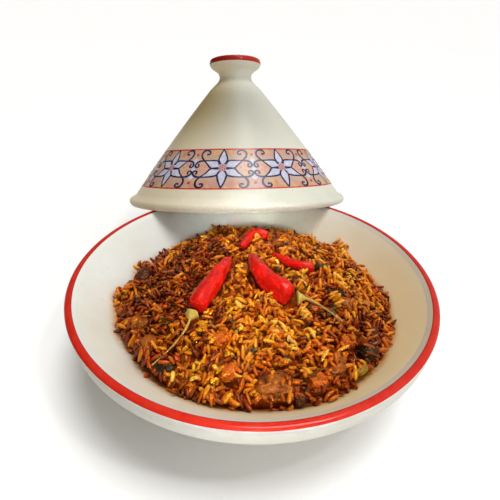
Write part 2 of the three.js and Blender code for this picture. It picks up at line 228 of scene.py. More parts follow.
def rounded(corners, steps=5):
    """A profile of corners (radius, height, cut), each rounded from `cut` before it to `cut`
    past it."""
    line = []
    for i, (x, z, cut) in enumerate(corners):
        here = np.array([x, z], float)
        if cut <= 0 or i in (0, len(corners) - 1):
            line.append(here)
            continue
        before = np.array(corners[i - 1][:2], float) - here
        after = np.array(corners[i + 1][:2], float) - here
        start = here + before / np.linalg.norm(before) * min(cut, np.linalg.norm(before) * 0.49)
        end = here + after / np.linalg.norm(after) * min(cut, np.linalg.norm(after) * 0.49)
        for share in np.linspace(0, 1, steps):
            line.append((1 - share) ** 2 * start + 2 * share * (1 - share) * here + share**2 * end)
    return np.array(line)


def subdivided(line, longest):
    """The same line with no stretch longer than `longest`."""
    made = [line[0]]
    for start, end in zip(line[:-1], line[1:]):
        count = max(1, math.ceil(np.linalg.norm(end - start) / longest))
        made += [start + (end - start) * k / count for k in range(1, count + 1)]
    return np.array(made)


def ring_quads(rings, sides):
    """The quads between each ring of points and the next, by stretch."""
    k = np.arange(sides)
    after = (k + 1) % sides
    return [
        np.stack([i * sides + k, (i + 1) * sides + k, (i + 1) * sides + after,
                  i * sides + after], axis=1)
        for i in range(rings - 1)
    ]


def end_fans(rings, sides):
    """Triangles from the first and the last ring to the two points that follow the rings."""
    k = np.arange(sides)
    after = (k + 1) % sides
    top = (rings - 1) * sides
    return (
        np.stack([np.full(sides, rings * sides), k, after], axis=1),
        np.stack([np.full(sides, rings * sides + 1), top + after, top + k], axis=1),
    )


def turned(profile, segments):
    """Points and faces of a profile turned about Z. It starts and ends on the axis.

    Returns the points, the quads by stretch of the profile, and the two end fans.
    """
    ring_line = profile[1:-1]
    azimuth = np.linspace(0, 2 * np.pi, segments, endpoint=False)
    rings = np.stack([
        ring_line[:, None, 0] * np.cos(azimuth),
        ring_line[:, None, 0] * np.sin(azimuth),
        np.broadcast_to(ring_line[:, None, 1], (len(ring_line), segments)),
    ], axis=-1)
    first = [[0, 0, profile[0, 1]]]
    last = [[0, 0, profile[-1, 1]]]
    points = np.concatenate([rings.reshape(-1, 3), first, last])
    count = len(ring_line)
    return points, ring_quads(count, segments), end_fans(count, segments)


def smooth_line(places, count):
    """A Catmull-Rom curve through places, at equal steps of its length."""
    places = np.asarray(places, float)
    ends = [2 * places[0] - places[1], *places, 2 * places[-1] - places[-2]]
    fine = []
    for a, b, c, d in zip(ends[:-3], ends[1:-2], ends[2:-1], ends[3:]):
        for t in np.linspace(0, 1, 24, endpoint=False):
            fine.append(0.5 * (2 * b + (c - a) * t + (2 * a - 5 * b + 4 * c - d) * t**2
                               + (3 * b - a - 3 * c + d) * t**3))
    fine = np.array([*fine, places[-1]])
    steps = np.concatenate([[0], np.cumsum(np.linalg.norm(np.diff(fine, axis=0), axis=1))])
    wanted = np.linspace(0, steps[-1], count)
    return np.stack([np.interp(wanted, steps, fine[:, k]) for k in range(fine.shape[1])], axis=1)


def tube(line, radius_at, sides):
    """Points and faces of a closed skin along a line.

    radius_at(share, angle) gives its radius; angle 0 is to the right of the line and a
    quarter turn is over it.
    """
    forward = np.gradient(line, axis=0)
    forward /= np.linalg.norm(forward, axis=1, keepdims=True)
    side = np.cross(forward, [0, 0, 1.0])
    side /= np.linalg.norm(side, axis=1, keepdims=True)
    over = np.cross(side, forward)
    angle = np.linspace(0, 2 * np.pi, sides, endpoint=False)
    share = np.linspace(0, 1, len(line))
    radius = radius_at(share[:, None], angle[None, :])
    rings = (line[:, None] + radius[..., None] * (np.cos(angle)[None, :, None] * side[:, None]
                                                  + np.sin(angle)[None, :, None] * over[:, None]))
    points = np.concatenate([rings.reshape(-1, 3), line[:1], line[-1:]])
    # the rings run the other way round than those of a turned shape
    quads = np.concatenate(ring_quads(len(line), sides))[:, [0, 3, 2, 1]]
    fans = np.concatenate(end_fans(len(line), sides))[:, [0, 2, 1]]
    return points, quads, fans


def ball(levels):
    """Points and triangles of a finely divided icosahedron."""
    form = bmesh.new()
    bmesh.ops.create_icosphere(form, subdivisions=levels, radius=1)
    points = np.array([v.co for v in form.verts])
    faces = np.array([[v.index for v in f.verts] for f in form.faces])
    form.free()
    return points, faces


# ---- materials ----

# Highlights on a plain surface and on what is soaked in spiced oil.
PLAIN_SHINE = (1.0, 1.0, 1.0)
WARM_SHINE = (1.0, 0.74, 0.38)

# How far light spreads inside food: its red, green and blue as shares of a depth in metres.
SCATTER_SHARES = (1.0, 0.4, 0.15)
SCATTER_DEPTH = 0.0015


def put(tree, socket, value):
    """Gives a node's input a value, or links it where the value is another's output."""
    if isinstance(value, bpy.types.NodeSocket):
        tree.links.new(value, socket)
    else:
        socket.default_value = value


def add_node(tree, kind, values=None, **settings):
    """A new node with its settings and the values of its inputs."""
    made = tree.nodes.new(kind)
    for key, value in settings.items():
        setattr(made, key, value)
    for socket, value in (values or {}).items():
        put(tree, made.inputs[socket], value)
    return made


def ramp(tree, value, low, high, dim=0.0, bright=1.0):
    """A value between dim and bright, as another one goes from low to high."""
    values = {"Value": value, "From Min": low, "From Max": high, "To Min": dim, "To Max": bright}
    return add_node(tree, "ShaderNodeMapRange", values).outputs["Result"]


def two_colours(tree, share, first, second):
    """A colour between two."""
    # a Mix node's sockets 6 and 7 are its two colours, and output 2 is their mix
    values = {0: share, 6: first, 7: second}
    return add_node(tree, "ShaderNodeMix", values, data_type="RGBA").outputs[2]


class Finish:
    """A material and short ways of adding nodes to it."""

    def __init__(self, name, roughness, coat=0.0, coat_roughness=0.1, subsurface=0.0,
                 shine=0.5, tint=PLAIN_SHINE):
        self.material = bpy.data.materials.new(name)
        self.material.use_nodes = True
        self.tree = self.material.node_tree
        self.shader = self.tree.nodes["Principled BSDF"]
        self.shader.inputs["Roughness"].default_value = roughness
        self.shader.inputs["Coat Weight"].default_value = coat
        self.shader.inputs["Coat Roughness"].default_value = coat_roughness
        self.shader.inputs["Specular IOR Level"].default_value = shine
        self.shader.inputs["Specular Tint"].default_value = (*tint, 1.0)
        if subsurface:
            self.shader.inputs["Subsurface Weight"].default_value = subsurface
            self.shader.inputs["Subsurface Radius"].default_value = SCATTER_SHARES
            self.shader.inputs["Subsurface Scale"].default_value = SCATTER_DEPTH

    def node(self, kind, values=None, **settings):
        """A new node in this material."""
        return add_node(self.tree, kind, values, **settings)

    def speckle(self, scale, detail=3.0, stretch=None):
        """Noise over the object's own coordinates, from 0 to 1."""
        place = self.node("ShaderNodeTexCoord").outputs["Object"]
        if stretch:
            place = self.node("ShaderNodeMapping", {"Vector": place, "Scale": stretch}).outputs[0]
        values = {"Vector": place, "Scale": scale, "Detail": detail, "Roughness": 0.55}
        return self.node("ShaderNodeTexNoise", values).outputs["Fac"]

    def tag(self, name):
        """A value kept with the mesh's points."""
        return self.node("ShaderNodeAttribute", attribute_name=name).outputs["Fac"]

    def between(self, value, low, high):
        """0 where the value is low, 1 where it is high."""
        return ramp(self.tree, value, low, high)

    def maths(self, kind, a, b):
        """Two numbers put together."""
        return self.node("ShaderNodeMath", {0: a, 1: b}, operation=kind).outputs[0]

    def times(self, a, b):
        """The product of two numbers."""
        return self.maths("MULTIPLY", a, b)

    def mix(self, share, first, second):
        """A colour between two."""
        return two_colours(self.tree, share, first, second)

    def colour(self, value):
        """Sets the surface's colour."""
        put(self.tree, self.shader.inputs["Base Color"], value)

    def rough(self, value, low, high):
        """Roughness between low and high by a value from 0 to 1."""
        put(self.tree, self.shader.inputs["Roughness"], ramp(self.tree, value, 0.0, 1.0, low, high))

    def bumps(self, height, depth, strength=1.0):
        """A bump `depth` metres high."""
        values = {"Height": height, "Distance": depth, "Strength": strength}
        normal = self.node("ShaderNodeBump", values).outputs["Normal"]
        put(self.tree, self.shader.inputs["Normal"], normal)


def shade(red, green, blue):
    """A screen colour from 0 to 255 as a linear one."""
    def linear(value):
        value /= 255
        return value / 12.92 if value <= 0.04045 else ((value + 0.055) / 1.055) ** 2.4
    return (linear(red), linear(green), linear(blue), 1.0)


def full(colour):
    """A property's colour with its fourth number."""
    return (*colour, 1.0)


def glaze(name, colour, warm, shaded):
    """Pale glaze over clay: faint clouds, a few specks, and where tagged an oil stain, a yellow
    tint that is partly an oil film and partly a painted reflection, or a darker tone that is
    painted shade."""
    finish = Finish(name, 0.4, coat=0.08, coat_roughness=0.14, shine=0.24)
    cloud = finish.between(finish.speckle(14.0, detail=4.0), 0.35, 0.7)
    ground = finish.mix(cloud, colour, warm)
    # painted shade: darker where the mesh is tagged shaded
    ground = finish.mix(finish.tag("shaded"), ground, shaded)
    speck = finish.between(finish.speckle(420.0, detail=1.0), 0.74, 0.79)
    speckled = finish.mix(finish.times(speck, 0.35), ground, shade(150, 120, 84))
    # a yellow tint, partly an oil film and partly a painted reflection of the rice and of warm
    # light
    with_film_and_reflection = finish.mix(finish.tag("film_and_reflection"), speckled, shade(232, 192, 108))
    uneven = finish.between(finish.speckle(240.0, detail=3.0), 0.2, 0.55)
    oily = finish.times(finish.tag("stain"), uneven)
    finish.colour(finish.mix(oily, with_film_and_reflection, shade(204, 132, 30)))
    finish.rough(finish.speckle(60.0), 0.34, 0.48)
    finish.bumps(finish.speckle(38.0, detail=2.0), 0.0004, 0.35)
    return finish.material


def red_glaze(name, colour):
    """Painted red under the glaze, a little thin along its strokes, and darker where tagged, as
    painted shade.
    """
    finish = Finish(name, 0.2, coat=0.1, coat_roughness=0.06, shine=0.2)
    stroke = finish.between(finish.speckle(90.0, detail=4.0), 0.3, 0.75)
    # painted shade: darker where the mesh is tagged edge
    edge = finish.tag("edge")
    painted = finish.mix(stroke, colour, shade(218, 52, 34))
    finish.colour(finish.mix(edge, painted, shade(104, 22, 18)))
    finish.rough(finish.speckle(70.0), 0.12, 0.24)
    finish.bumps(finish.speckle(120.0), 0.0002, 0.3)
    return finish.material


def band_wash(name):
    """The lid's painted band: pink and cream washed with peach and yellow at its edges."""
    finish = Finish(name, 0.3, coat=0.08, coat_roughness=0.1, shine=0.3)
    blot = finish.speckle(95.0, detail=3.0)
    pale = finish.mix(finish.between(blot, 0.4, 0.6), shade(184, 154, 150), shade(188, 168, 144))
    peach = finish.mix(finish.between(finish.speckle(150.0), 0.48, 0.6),
                       shade(198, 122, 96), shade(200, 168, 96))
    near_edge = finish.times(finish.tag("wash"), finish.between(blot, 0.3, 0.66))
    finish.colour(finish.mix(near_edge, pale, peach))
    finish.rough(finish.speckle(60.0), 0.24, 0.38)
    return finish.material


def brushed_paint(name, colour, thin):
    """Brushed colour under the glaze, paler where the brush ran dry."""
    finish = Finish(name, 0.3, coat=0.08, coat_roughness=0.1, shine=0.3)
    dry = finish.between(finish.speckle(260.0, detail=3.0), 0.45, 0.75)
    finish.colour(finish.mix(dry, colour, thin))
    finish.rough(dry, 0.24, 0.36)
    return finish.material


def grain_finish(name, colour, deep, spiced):
    """Oily rice: each grain has a tone of its own, and is redder where it is tagged."""
    finish = Finish(name, 0.25, subsurface=0.15, shine=0.55, tint=WARM_SHINE)
    patch = finish.between(finish.speckle(260.0, detail=2.0), 0.3, 0.7)
    own = finish.tag("tone")
    mixed = finish.maths("ADD", finish.times(own, 0.65), finish.times(patch, 0.35))
    base = finish.mix(mixed, colour, deep)
    redder = finish.mix(finish.tag("spiced"), base, spiced)
    speck = finish.between(finish.speckle(1100.0, detail=2.0), 0.6, 0.7)
    finish.colour(finish.mix(finish.times(speck, 0.45), redder, shade(120, 44, 8)))
    finish.rough(patch, 0.18, 0.34)
    finish.bumps(finish.speckle(1500.0, detail=2.0), 0.0001, 0.4)
    return finish.material


def soaked_core(name):
    """The dark, oily inside of the heap, between the grains."""
    finish = Finish(name, 0.45, shine=0.25, tint=WARM_SHINE)
    patch = finish.between(finish.speckle(120.0, detail=5.0), 0.35, 0.65)
    spice = finish.between(finish.speckle(700.0, detail=3.0), 0.5, 0.66)
    dark = finish.mix(patch, shade(92, 26, 3), shade(122, 44, 4))
    bright = finish.mix(patch, shade(164, 68, 4), shade(188, 88, 8))
    ground = finish.mix(finish.tag("bright"), dark, bright)
    finish.colour(finish.mix(finish.times(spice, 0.6), ground, shade(56, 18, 6)))
    finish.rough(patch, 0.35, 0.55)
    finish.bumps(finish.speckle(420.0, detail=4.0), 0.0012, 0.8)
    return finish.material


def chilli_skin(name, colour):
    """Glossy skin, darker in its creases as painted shade, and brighter where it is stretched."""
    finish = Finish(name, 0.24, coat=0.15, coat_roughness=0.08, subsurface=0.06, shine=0.32,
                    tint=(1.0, 0.5, 0.4))
    patch = finish.between(finish.speckle(70.0, detail=4.0), 0.35, 0.7)
    skin = finish.mix(patch, colour, shade(214, 26, 8))
    faded = finish.mix(finish.tag("faded"), skin, shade(160, 26, 14))
    # painted shade in the creases
    finish.colour(finish.mix(finish.tag("crease_shade"), faded, shade(112, 6, 4)))
    finish.rough(finish.speckle(160.0), 0.18, 0.34)
    finish.bumps(finish.speckle(340.0, detail=3.0, stretch=(1.0, 1.0, 0.4)), 0.0005, 0.5)
    return finish.material


def stalk_finish(name, cap, stem):
    """Calyx and stalk: pale at the pod, dry and straw-coloured along the stem."""
    finish = Finish(name, 0.45, subsurface=0.05, shine=0.3, tint=WARM_SHINE)
    streak = finish.between(finish.speckle(380.0, detail=3.0, stretch=(1.0, 1.0, 0.3)), 0.3, 0.7)
    along = finish.mix(finish.tag("along"), cap, stem)
    finish.colour(finish.mix(finish.times(streak, 0.45), along, shade(116, 84, 30)))
    finish.bumps(streak, 0.0003, 0.6)
    return finish.material


def cooked(name, colour, other, dark, scale=160.0, gloss=0.3, fibres=None):
    """Cooked meat or vegetable: two colours in patches, dark in fine specks, and darker in its
    dents as painted shade.
    """
    finish = Finish(name, gloss, subsurface=0.06, shine=0.4, tint=WARM_SHINE)
    patch = finish.between(finish.speckle(scale, detail=4.0, stretch=fibres), 0.35, 0.65)
    fine = finish.between(finish.speckle(scale * 4, detail=3.0, stretch=fibres), 0.52, 0.72)
    two = finish.mix(patch, colour, other)
    # painted shade in the dents, with the dark fine specks
    hollow = finish.maths("MAXIMUM", finish.times(fine, 0.6), finish.tag("hollow"))
    finish.colour(finish.mix(hollow, two, dark))
    finish.rough(patch, gloss * 0.75, gloss * 1.4)
    finish.bumps(finish.speckle(scale * 3.2, detail=4.0, stretch=fibres), 0.0006, 0.6)
    return finish.material


# ---- sizes and colours that a user would change ----


class DishSettings(bpy.types.PropertyGroup):
    """Steps and glazes of the dish"""

    segments: IntProperty(
        name="Segments", description="Steps round the dish and the lid", default=224, min=24)
    glaze_colour: FloatVectorProperty(
        name="Glaze", description="Colour of the cream glaze", subtype="COLOR", size=3,
        default=shade(226, 229, 224)[:3])
    warm_colour: FloatVectorProperty(
        name="Warm glaze", description="Colour where the glaze is thin", subtype="COLOR", size=3,
        default=shade(216, 213, 200)[:3])
    band_colour: FloatVectorProperty(
        name="Rim band", description="Colour of the painted rim", subtype="COLOR", size=3,
        default=shade(206, 30, 14)[:3])


class LidSettings(bpy.types.PropertyGroup):
    """Glaze and painting of the lid"""

    glaze_colour: FloatVectorProperty(
        name="Glaze", description="Colour of the lid's glaze", subtype="COLOR", size=3,
        default=shade(206, 206, 190)[:3])
    flowers: IntProperty(
        name="Flowers", description="Flowers round the painted band", default=10, min=3)
    first_flower: FloatProperty(
        name="First flower", description="Turn of the first flower from the front",
        default=math.radians(-12), subtype="ANGLE", unit="ROTATION")
    line_colour: FloatVectorProperty(
        name="Lines", description="Colour of the painted scrolls", subtype="COLOR", size=3,
        default=shade(26, 26, 58)[:3])
    petal_colour: FloatVectorProperty(
        name="Petals", description="Colour of the petals", subtype="COLOR", size=3,
        default=shade(184, 184, 204)[:3])
    edge_colour: FloatVectorProperty(
        name="Edge lines", description="Colour of the band's two edge lines", subtype="COLOR",
        size=3, default=shade(186, 52, 34)[:3])


class RiceSettings(bpy.types.PropertyGroup):
    """Grains of the heap"""

    grains: IntProperty(
        name="Grains", description="Grains and scraps dropped; fewer than half find a place",
        default=10500, min=100)
    grain_length: FloatProperty(
        name="Grain length", description="Usual length of a grain", default=0.0074,
        unit="LENGTH", subtype="DISTANCE")
    grain_thickness: FloatProperty(
        name="Grain thickness", description="Usual thickness of a grain", default=0.0029,
        unit="LENGTH", subtype="DISTANCE")
    layer: FloatProperty(
        name="Loose layer", description="Thickness of the loose grains over the core",
        default=0.0055, unit="LENGTH", subtype="DISTANCE")
    seed: IntProperty(name="Seed", description="Start of the random numbers", default=11)


class ToppingSettings(bpy.types.PropertyGroup):
    """Chillies on the heap"""

    skin_colour: FloatVectorProperty(
        name="Chilli", description="Colour of the chillies", subtype="COLOR", size=3,
        default=shade(198, 16, 12)[:3])
    wrinkles: FloatProperty(
        name="Wrinkles", description="Depth of the wrinkles, as a share of the chilli's radius",
        default=0.07, min=0, max=0.3)
    seed: IntProperty(name="Seed", description="Start of the random numbers", default=5)


class StageSettings(bpy.types.PropertyGroup):
    """Lens and place of the camera"""

    lens: FloatProperty(
        name="Lens", description="Focal length of the camera", default=31.0, unit="CAMERA")
    distance: FloatProperty(
        name="Distance", description="Camera in front of the dish's axis", default=0.29516,
        unit="LENGTH", subtype="DISTANCE")
    height: FloatProperty(
        name="Height", description="Camera above the ground", default=0.28991,
        unit="LENGTH", subtype="DISTANCE")
    aside: FloatProperty(
        name="Aside", description="Camera to the right of the dish's axis", default=-0.0029,
        unit="LENGTH", subtype="DISTANCE")
    pitch: FloatProperty(
        name="Pitch", description="Camera's tilt below the level", default=math.radians(33.055),
        subtype="ANGLE", unit="ROTATION")
    roll: FloatProperty(
        name="Roll", description="Camera's turn about its own axis", default=math.radians(1.628),
        subtype="ANGLE", unit="ROTATION")


class RiceDishSettings(bpy.types.PropertyGroup):
    """The settings of every part"""

    dish: PointerProperty(type=DishSettings)
    lid: PointerProperty(type=LidSettings)
    rice: PointerProperty(type=RiceSettings)
    toppings: PointerProperty(type=ToppingSettings)
    stage: PointerProperty(type=StageSettings)


def settings():
    """The settings of every part, kept with the scene."""
    return bpy.context.scene.rice_dish


# ---- the dish ----

# The numbers of the finishes in the dish and the lid.
GLAZE, RED, WASH = 0, 1, 2

LIP_HEIGHT = RIM_HEIGHT + 0.85


def put_together(stretches):
    """Stretches of a profile as one line, and the number of the finish at each point."""
    profile = [stretches[0][0][0]]
    parts = []
    for line, number in stretches:
        start = 1 if np.allclose(line[0], profile[-1], atol=1e-6) else 0
        profile += list(line[start:])
        parts += [number] * (len(line) - start)
    return np.array(profile), parts


def finish_blocks(stretches, fans, parts, turn_over=False):
    """A turned shape's faces in a block for each finish, and its end fans in glaze.

    Ring i of a turned shape is point i + 1 of its profile. turn_over is for a profile that
    starts inside a bowl and ends below it, as its faces would look inward.
    """
    order = slice(None, None, -1 if turn_over else 1)
    blocks = []
    for number in sorted(set(parts)):
        own = [stretch for i, stretch in enumerate(stretches) if parts[i + 1] == number]
        blocks.append((np.concatenate(own)[:, order], number))
    return blocks + [(fan[:, order], GLAZE) for fan in fans]


def dish_profile():
    """The dish's profile from the middle of the bowl to the middle of the underside, with
    the number of the finish at each point."""
    inside = np.array([[r, float(bowl_height(r))] for r in np.linspace(0, BOWL_TOP - 0.8, 96)])
    lip = np.array([inside[-1], [BAND_INNER, LIP_HEIGHT]])
    band = rounded([
        (BAND_INNER, LIP_HEIGHT, 0),
        (BAND_INNER + 0.8, RIM_HEIGHT + BAND_RISE + 0.2, 0.7),
        (RIM_RADIUS - 1.7, RIM_HEIGHT + BAND_RISE + 0.1, 1.6),
        (RIM_RADIUS - 0.5, RIM_HEIGHT + 0.1, 0.8),
        (RIM_RADIUS - 0.25, RIM_HEIGHT - 0.2, 0),
    ])
    collar = RIM_RADIUS - 1.0
    wall = rounded([
        (RIM_RADIUS - 0.25, RIM_HEIGHT - 0.2, 0),
        (RIM_RADIUS, RIM_HEIGHT - 1.8, 0.7),
        (RIM_RADIUS - 1.6, RIM_HEIGHT - 4, 0.8),
        (collar, RIM_HEIGHT - 6.5, 1.6),
        (collar, RIM_HEIGHT - 14.6, 4),
        (95, 7, 6),
        (92, 3.5, 1.5),
        (92, 0, 0.8),
        (84, 0, 0.8),
        (84, 3.5, 1.2),
        (0, 4, 0),
    ], steps=9)
    return put_together([
        (inside, GLAZE), (subdivided(lip, 0.6), GLAZE), (subdivided(band, 0.7), RED),
        (subdivided(wall, 5.0), GLAZE),
    ])


def dish_tags(points):
    """Where the dish is stained with oil at the rice's edge, yellower toward its right and front as
    an oil film and a painted reflection, darker on its lip there as painted shade, and where its
    red band is darker as painted shade along its inner edge and at its sides."""
    radius = np.hypot(points[:, 0], points[:, 1])
    azimuth = np.arctan2(points[:, 1], points[:, 0])
    lip = (points[:, 2] > RIM_HEIGHT - 1.5) & (radius < BAND_INNER + 0.01)
    inner = lip | ((points[:, 2] > bowl_height(radius) - 0.6) & (radius < BOWL_TOP))
    past = radius - outline_radius(azimuth) + short_of_front(azimuth)
    left_front = 0.55 + 0.45 * np.cos(azimuth - math.radians(-150))
    stain_reach = 3.5 + 4.5 * left_front
    right_front = (0.5 + 0.5 * np.cos(azimuth - math.radians(-30))) ** 1.3
    # a yellow tint near the rice, most toward the right and front: partly an oil film, partly a
    # painted reflection of the rice
    film_and_reflection = inner * (1 - smoothstep(10.0, 70.0, past)) * 0.65 * right_front
    # painted shade: the red band darker along its inner edge, and toward its left and right
    edge = 1 - smoothstep(0.0, 0.9, np.abs(radius - BAND_INNER))
    return {
        "stain": inner * (1 - smoothstep(-1.0, stain_reach, past)),
        "film_and_reflection": film_and_reflection * (1 - lip),
        # painted shade: the lip darker toward the right and front
        "shaded": 0.6 * lip * right_front,
        "edge": 0.85 * np.maximum(edge, 0.3 * np.abs(np.cos(azimuth))),
    }


def make_dish():
    """The whole dish in pale glaze, with the red band round its rim."""
    own = settings().dish
    profile, parts = dish_profile()
    points, stretches, fans = turned(profile, own.segments)
    finishes = [
        # the last colour is the painted shade on the lip
        glaze("cream glaze", full(own.glaze_colour), full(own.warm_colour),
              shade(158, 118, 66)),
        red_glaze("red rim glaze", full(own.band_colour)),
    ]
    blocks = finish_blocks(stretches, fans, parts, turn_over=True)
    new_piece("dish_glazed", in_frame(points), blocks, finishes, "dish",
              dish_tags(points))


# ---- the lid ----


def cone_line(low, high, count):
    """The cone's profile between two heights."""
    return np.array([[cone_radius(s), s] for s in np.linspace(low, high, count)])


def lid_profile():
    """The lid's profile in its own coordinates, from the hollow's top over the bottom edge
    to the knob, with the number of the finish at each point."""
    hollow = rounded([
        (0, 126, 0),
        (14, 123, 5),
        (cone_radius(62) - LID_WALL, 62, 6),
        (cone_radius(16) - LID_WALL, 16, 6),
        (LID_RADIUS - 2 * LID_BEAD, LID_BEAD, 3),
    ])
    ring = LID_RADIUS - LID_BEAD
    angles = np.radians(np.linspace(-180, 52, 22))
    bead = np.stack([ring + LID_BEAD * np.cos(angles), LID_BEAD + LID_BEAD * np.sin(angles)], 1)
    foot = cone_line(CONE_START, BAND_LOW, 5)
    band = cone_line(BAND_LOW, BAND_HIGH, 25)
    upper = cone_line(BAND_HIGH, CONE_END, 25)
    neck = rounded([
        (cone_radius(CONE_END), CONE_END, 0),
        (19.4, 142, 3.5),
        (18.3, 147, 3.5),
        (20.6, 151.8, 3),
        (28.0, 156.6, 3),
        (29.7, 159.7, 0),
    ], steps=7)
    knob = rounded([
        (29.7, 159.7, 0),
        (30.1, 160.9, 1.0),
        (29.5, 164.6, 1.4),
        (27.0, 166.0, 1.6),
        (22.0, 164.6, 2),
        (18.0, 163.6, 0),
    ])
    well = np.array([[18.0, 163.6], [9.0, 163.1], [0.0, 163.0]])
    return put_together([
        (subdivided(hollow, 6.0), GLAZE), (bead, GLAZE), (foot, GLAZE), (band, WASH),
        (upper, GLAZE), (subdivided(neck, 1.6), GLAZE), (subdivided(knob, 1.0), RED),
        (well, GLAZE),
    ])


def lid_tags(points):
    """Where the lid's glaze is yellower as a painted reflection, where it is greyer up the cone as
    painted shade, where the knob's red is darker as painted shade, and where the band is washed
    with peach."""
    x, y, up = points.T
    left = 0.5 - 0.5 * x / np.hypot(x, y + 0.01)
    share = (up - BAND_LOW) / (BAND_HIGH - BAND_LOW)
    up_the_cone = smoothstep(40, 115, up) * (1 - smoothstep(118, 152, up))
    return {
        # painted reflection: warmer and yellower toward the left
        "film_and_reflection": 0.32 * smoothstep(0.35, 1.0, left),
        # painted shade: greyer up the cone and darker toward the left
        "shaded": (0.12 + left) * up_the_cone,
        # painted shade: the knob's red darker, most at the left
        "edge": 0.4 + 0.4 * left,
        "wash": 1 - smoothstep(0.1, 0.34, np.minimum(share, 1 - share)),
    }


def make_lid():
    """The conical lid with its painted band and its knob, red round the top."""
    own = settings()
    profile, parts = lid_profile()
    points, stretches, fans = turned(profile, own.dish.segments)
    finishes = [
        # the last colour is the painted shade up the cone
        glaze("lid glaze", full(own.lid.glaze_colour), full(own.dish.warm_colour),
              shade(106, 110, 96)),
        red_glaze("knob glaze", full(own.dish.band_colour)),
        band_wash("painted band"),
    ]
    new_piece("lid_glazed", lid_in_frame(points), finish_blocks(stretches, fans, parts),
              finishes, "lid", lid_tags(points))


# The painted pattern. Across, 1 is the width of one flower's field and 0 its middle; up, 0
# is the band's lower line and 1 its upper. Lines run from the flower's middle outward.
FLOWER_UP = 0.52
# one edge of the upright petal and of the hanging one
UP_EDGE = [(0.028, 0.61), (0.066, 0.69), (0.073, 0.755), (0.042, 0.88), (0.0, 0.995)]
DOWN_EDGE = [(0.028, 0.445), (0.066, 0.375), (0.074, 0.325), (0.044, 0.17), (0.0, 0.02)]
# the upper and lower edge of each petal to the side
SIDE_PETALS = [
    ([(0.06, 0.6), (0.09, 0.69), (0.17, 0.705), (0.27, 0.7), (0.34, 0.705)],
     [(0.065, 0.525), (0.12, 0.515), (0.19, 0.51), (0.265, 0.61), (0.34, 0.705)]),
    ([(0.065, 0.485), (0.12, 0.495), (0.19, 0.5), (0.265, 0.38), (0.345, 0.285)],
     [(0.055, 0.43), (0.075, 0.345), (0.145, 0.305), (0.25, 0.29), (0.345, 0.285)]),
]
SCROLLS = [
    # from an upper petal's tip out, up and curled in
    [(0.335, 0.7), (0.4, 0.805), (0.41, 0.9), (0.36, 0.97), (0.295, 0.965), (0.252, 0.915),
     (0.262, 0.87), (0.3, 0.865)],
    # from a lower petal's tip out, down and curled in
    [(0.34, 0.29), (0.387, 0.205), (0.39, 0.11), (0.355, 0.04), (0.3, 0.03), (0.268, 0.075),
     (0.28, 0.12), (0.31, 0.115)],
    # the two lobes of the heart beside the flower
    [(0.335, 0.7), (0.41, 0.69), (0.465, 0.645), (0.48, 0.575), (0.447, 0.53), (0.412, 0.56),
     (0.425, 0.605)],
    [(0.34, 0.29), (0.41, 0.295), (0.472, 0.345), (0.485, 0.41), (0.452, 0.44), (0.415, 0.42),
     (0.422, 0.375)],
]
HEART = [
    (0.195, 0.505), (0.265, 0.61), (0.335, 0.7), (0.41, 0.69), (0.465, 0.645), (0.48, 0.57),
    (0.46, 0.505), (0.485, 0.41), (0.47, 0.34), (0.41, 0.295), (0.34, 0.29), (0.265, 0.385),
]
BETWEEN_HEARTS = [
    (0.5, 0.78), (0.56, 0.68), (0.53, 0.6), (0.545, 0.5), (0.53, 0.41), (0.56, 0.32),
    (0.5, 0.22), (0.44, 0.32), (0.47, 0.41), (0.455, 0.5), (0.47, 0.6), (0.44, 0.68),
]
# where the edges of two petals meet
JOINTS = [(0.078, 0.695), (0.075, 0.505), (0.072, 0.345)]
# small red dots in each heart, and larger ones above and below the field between two hearts
HEART_DOTS = [(0.3, 0.53), (0.36, 0.59), (0.37, 0.45)]
FIELD_DOTS = [(0.5, 0.855), (0.5, 0.145)]
# how many dots lie round the flower's middle, and how far out in millimetres
MIDDLE_DOTS = 6
MIDDLE_RADIUS = 2.8

# Half widths of the brush strokes along their length, in millimetres.
PETAL_STROKE = [0.7, 0.9, 0.9, 0.8, 0.7]
SCROLL_STROKE = [0.8, 1.05, 1.1, 1.05, 0.9, 0.85]

# How far each layer of paint lies off the lid, in millimetres.
UNDER_WASH = 0.07
HEART_WASH = 0.1
PETAL_PAINT = 0.13
EDGE_LINES = 0.14
SMALL_DOTS = 0.16
PETAL_LINES = (0.19, 0.2)
LARGE_DOTS = 0.2
SCROLL_LINES = 0.21
TOP_DOTS = 0.22


def strip_quads(count):
    """Quads of a strip that is three lines of points, one after another."""
    k = np.arange(count - 1)
    return np.concatenate([
        np.stack([row + k, row + k + 1, row + count + k + 1, row + count + k], axis=1)
        for row in (0, count)
    ])


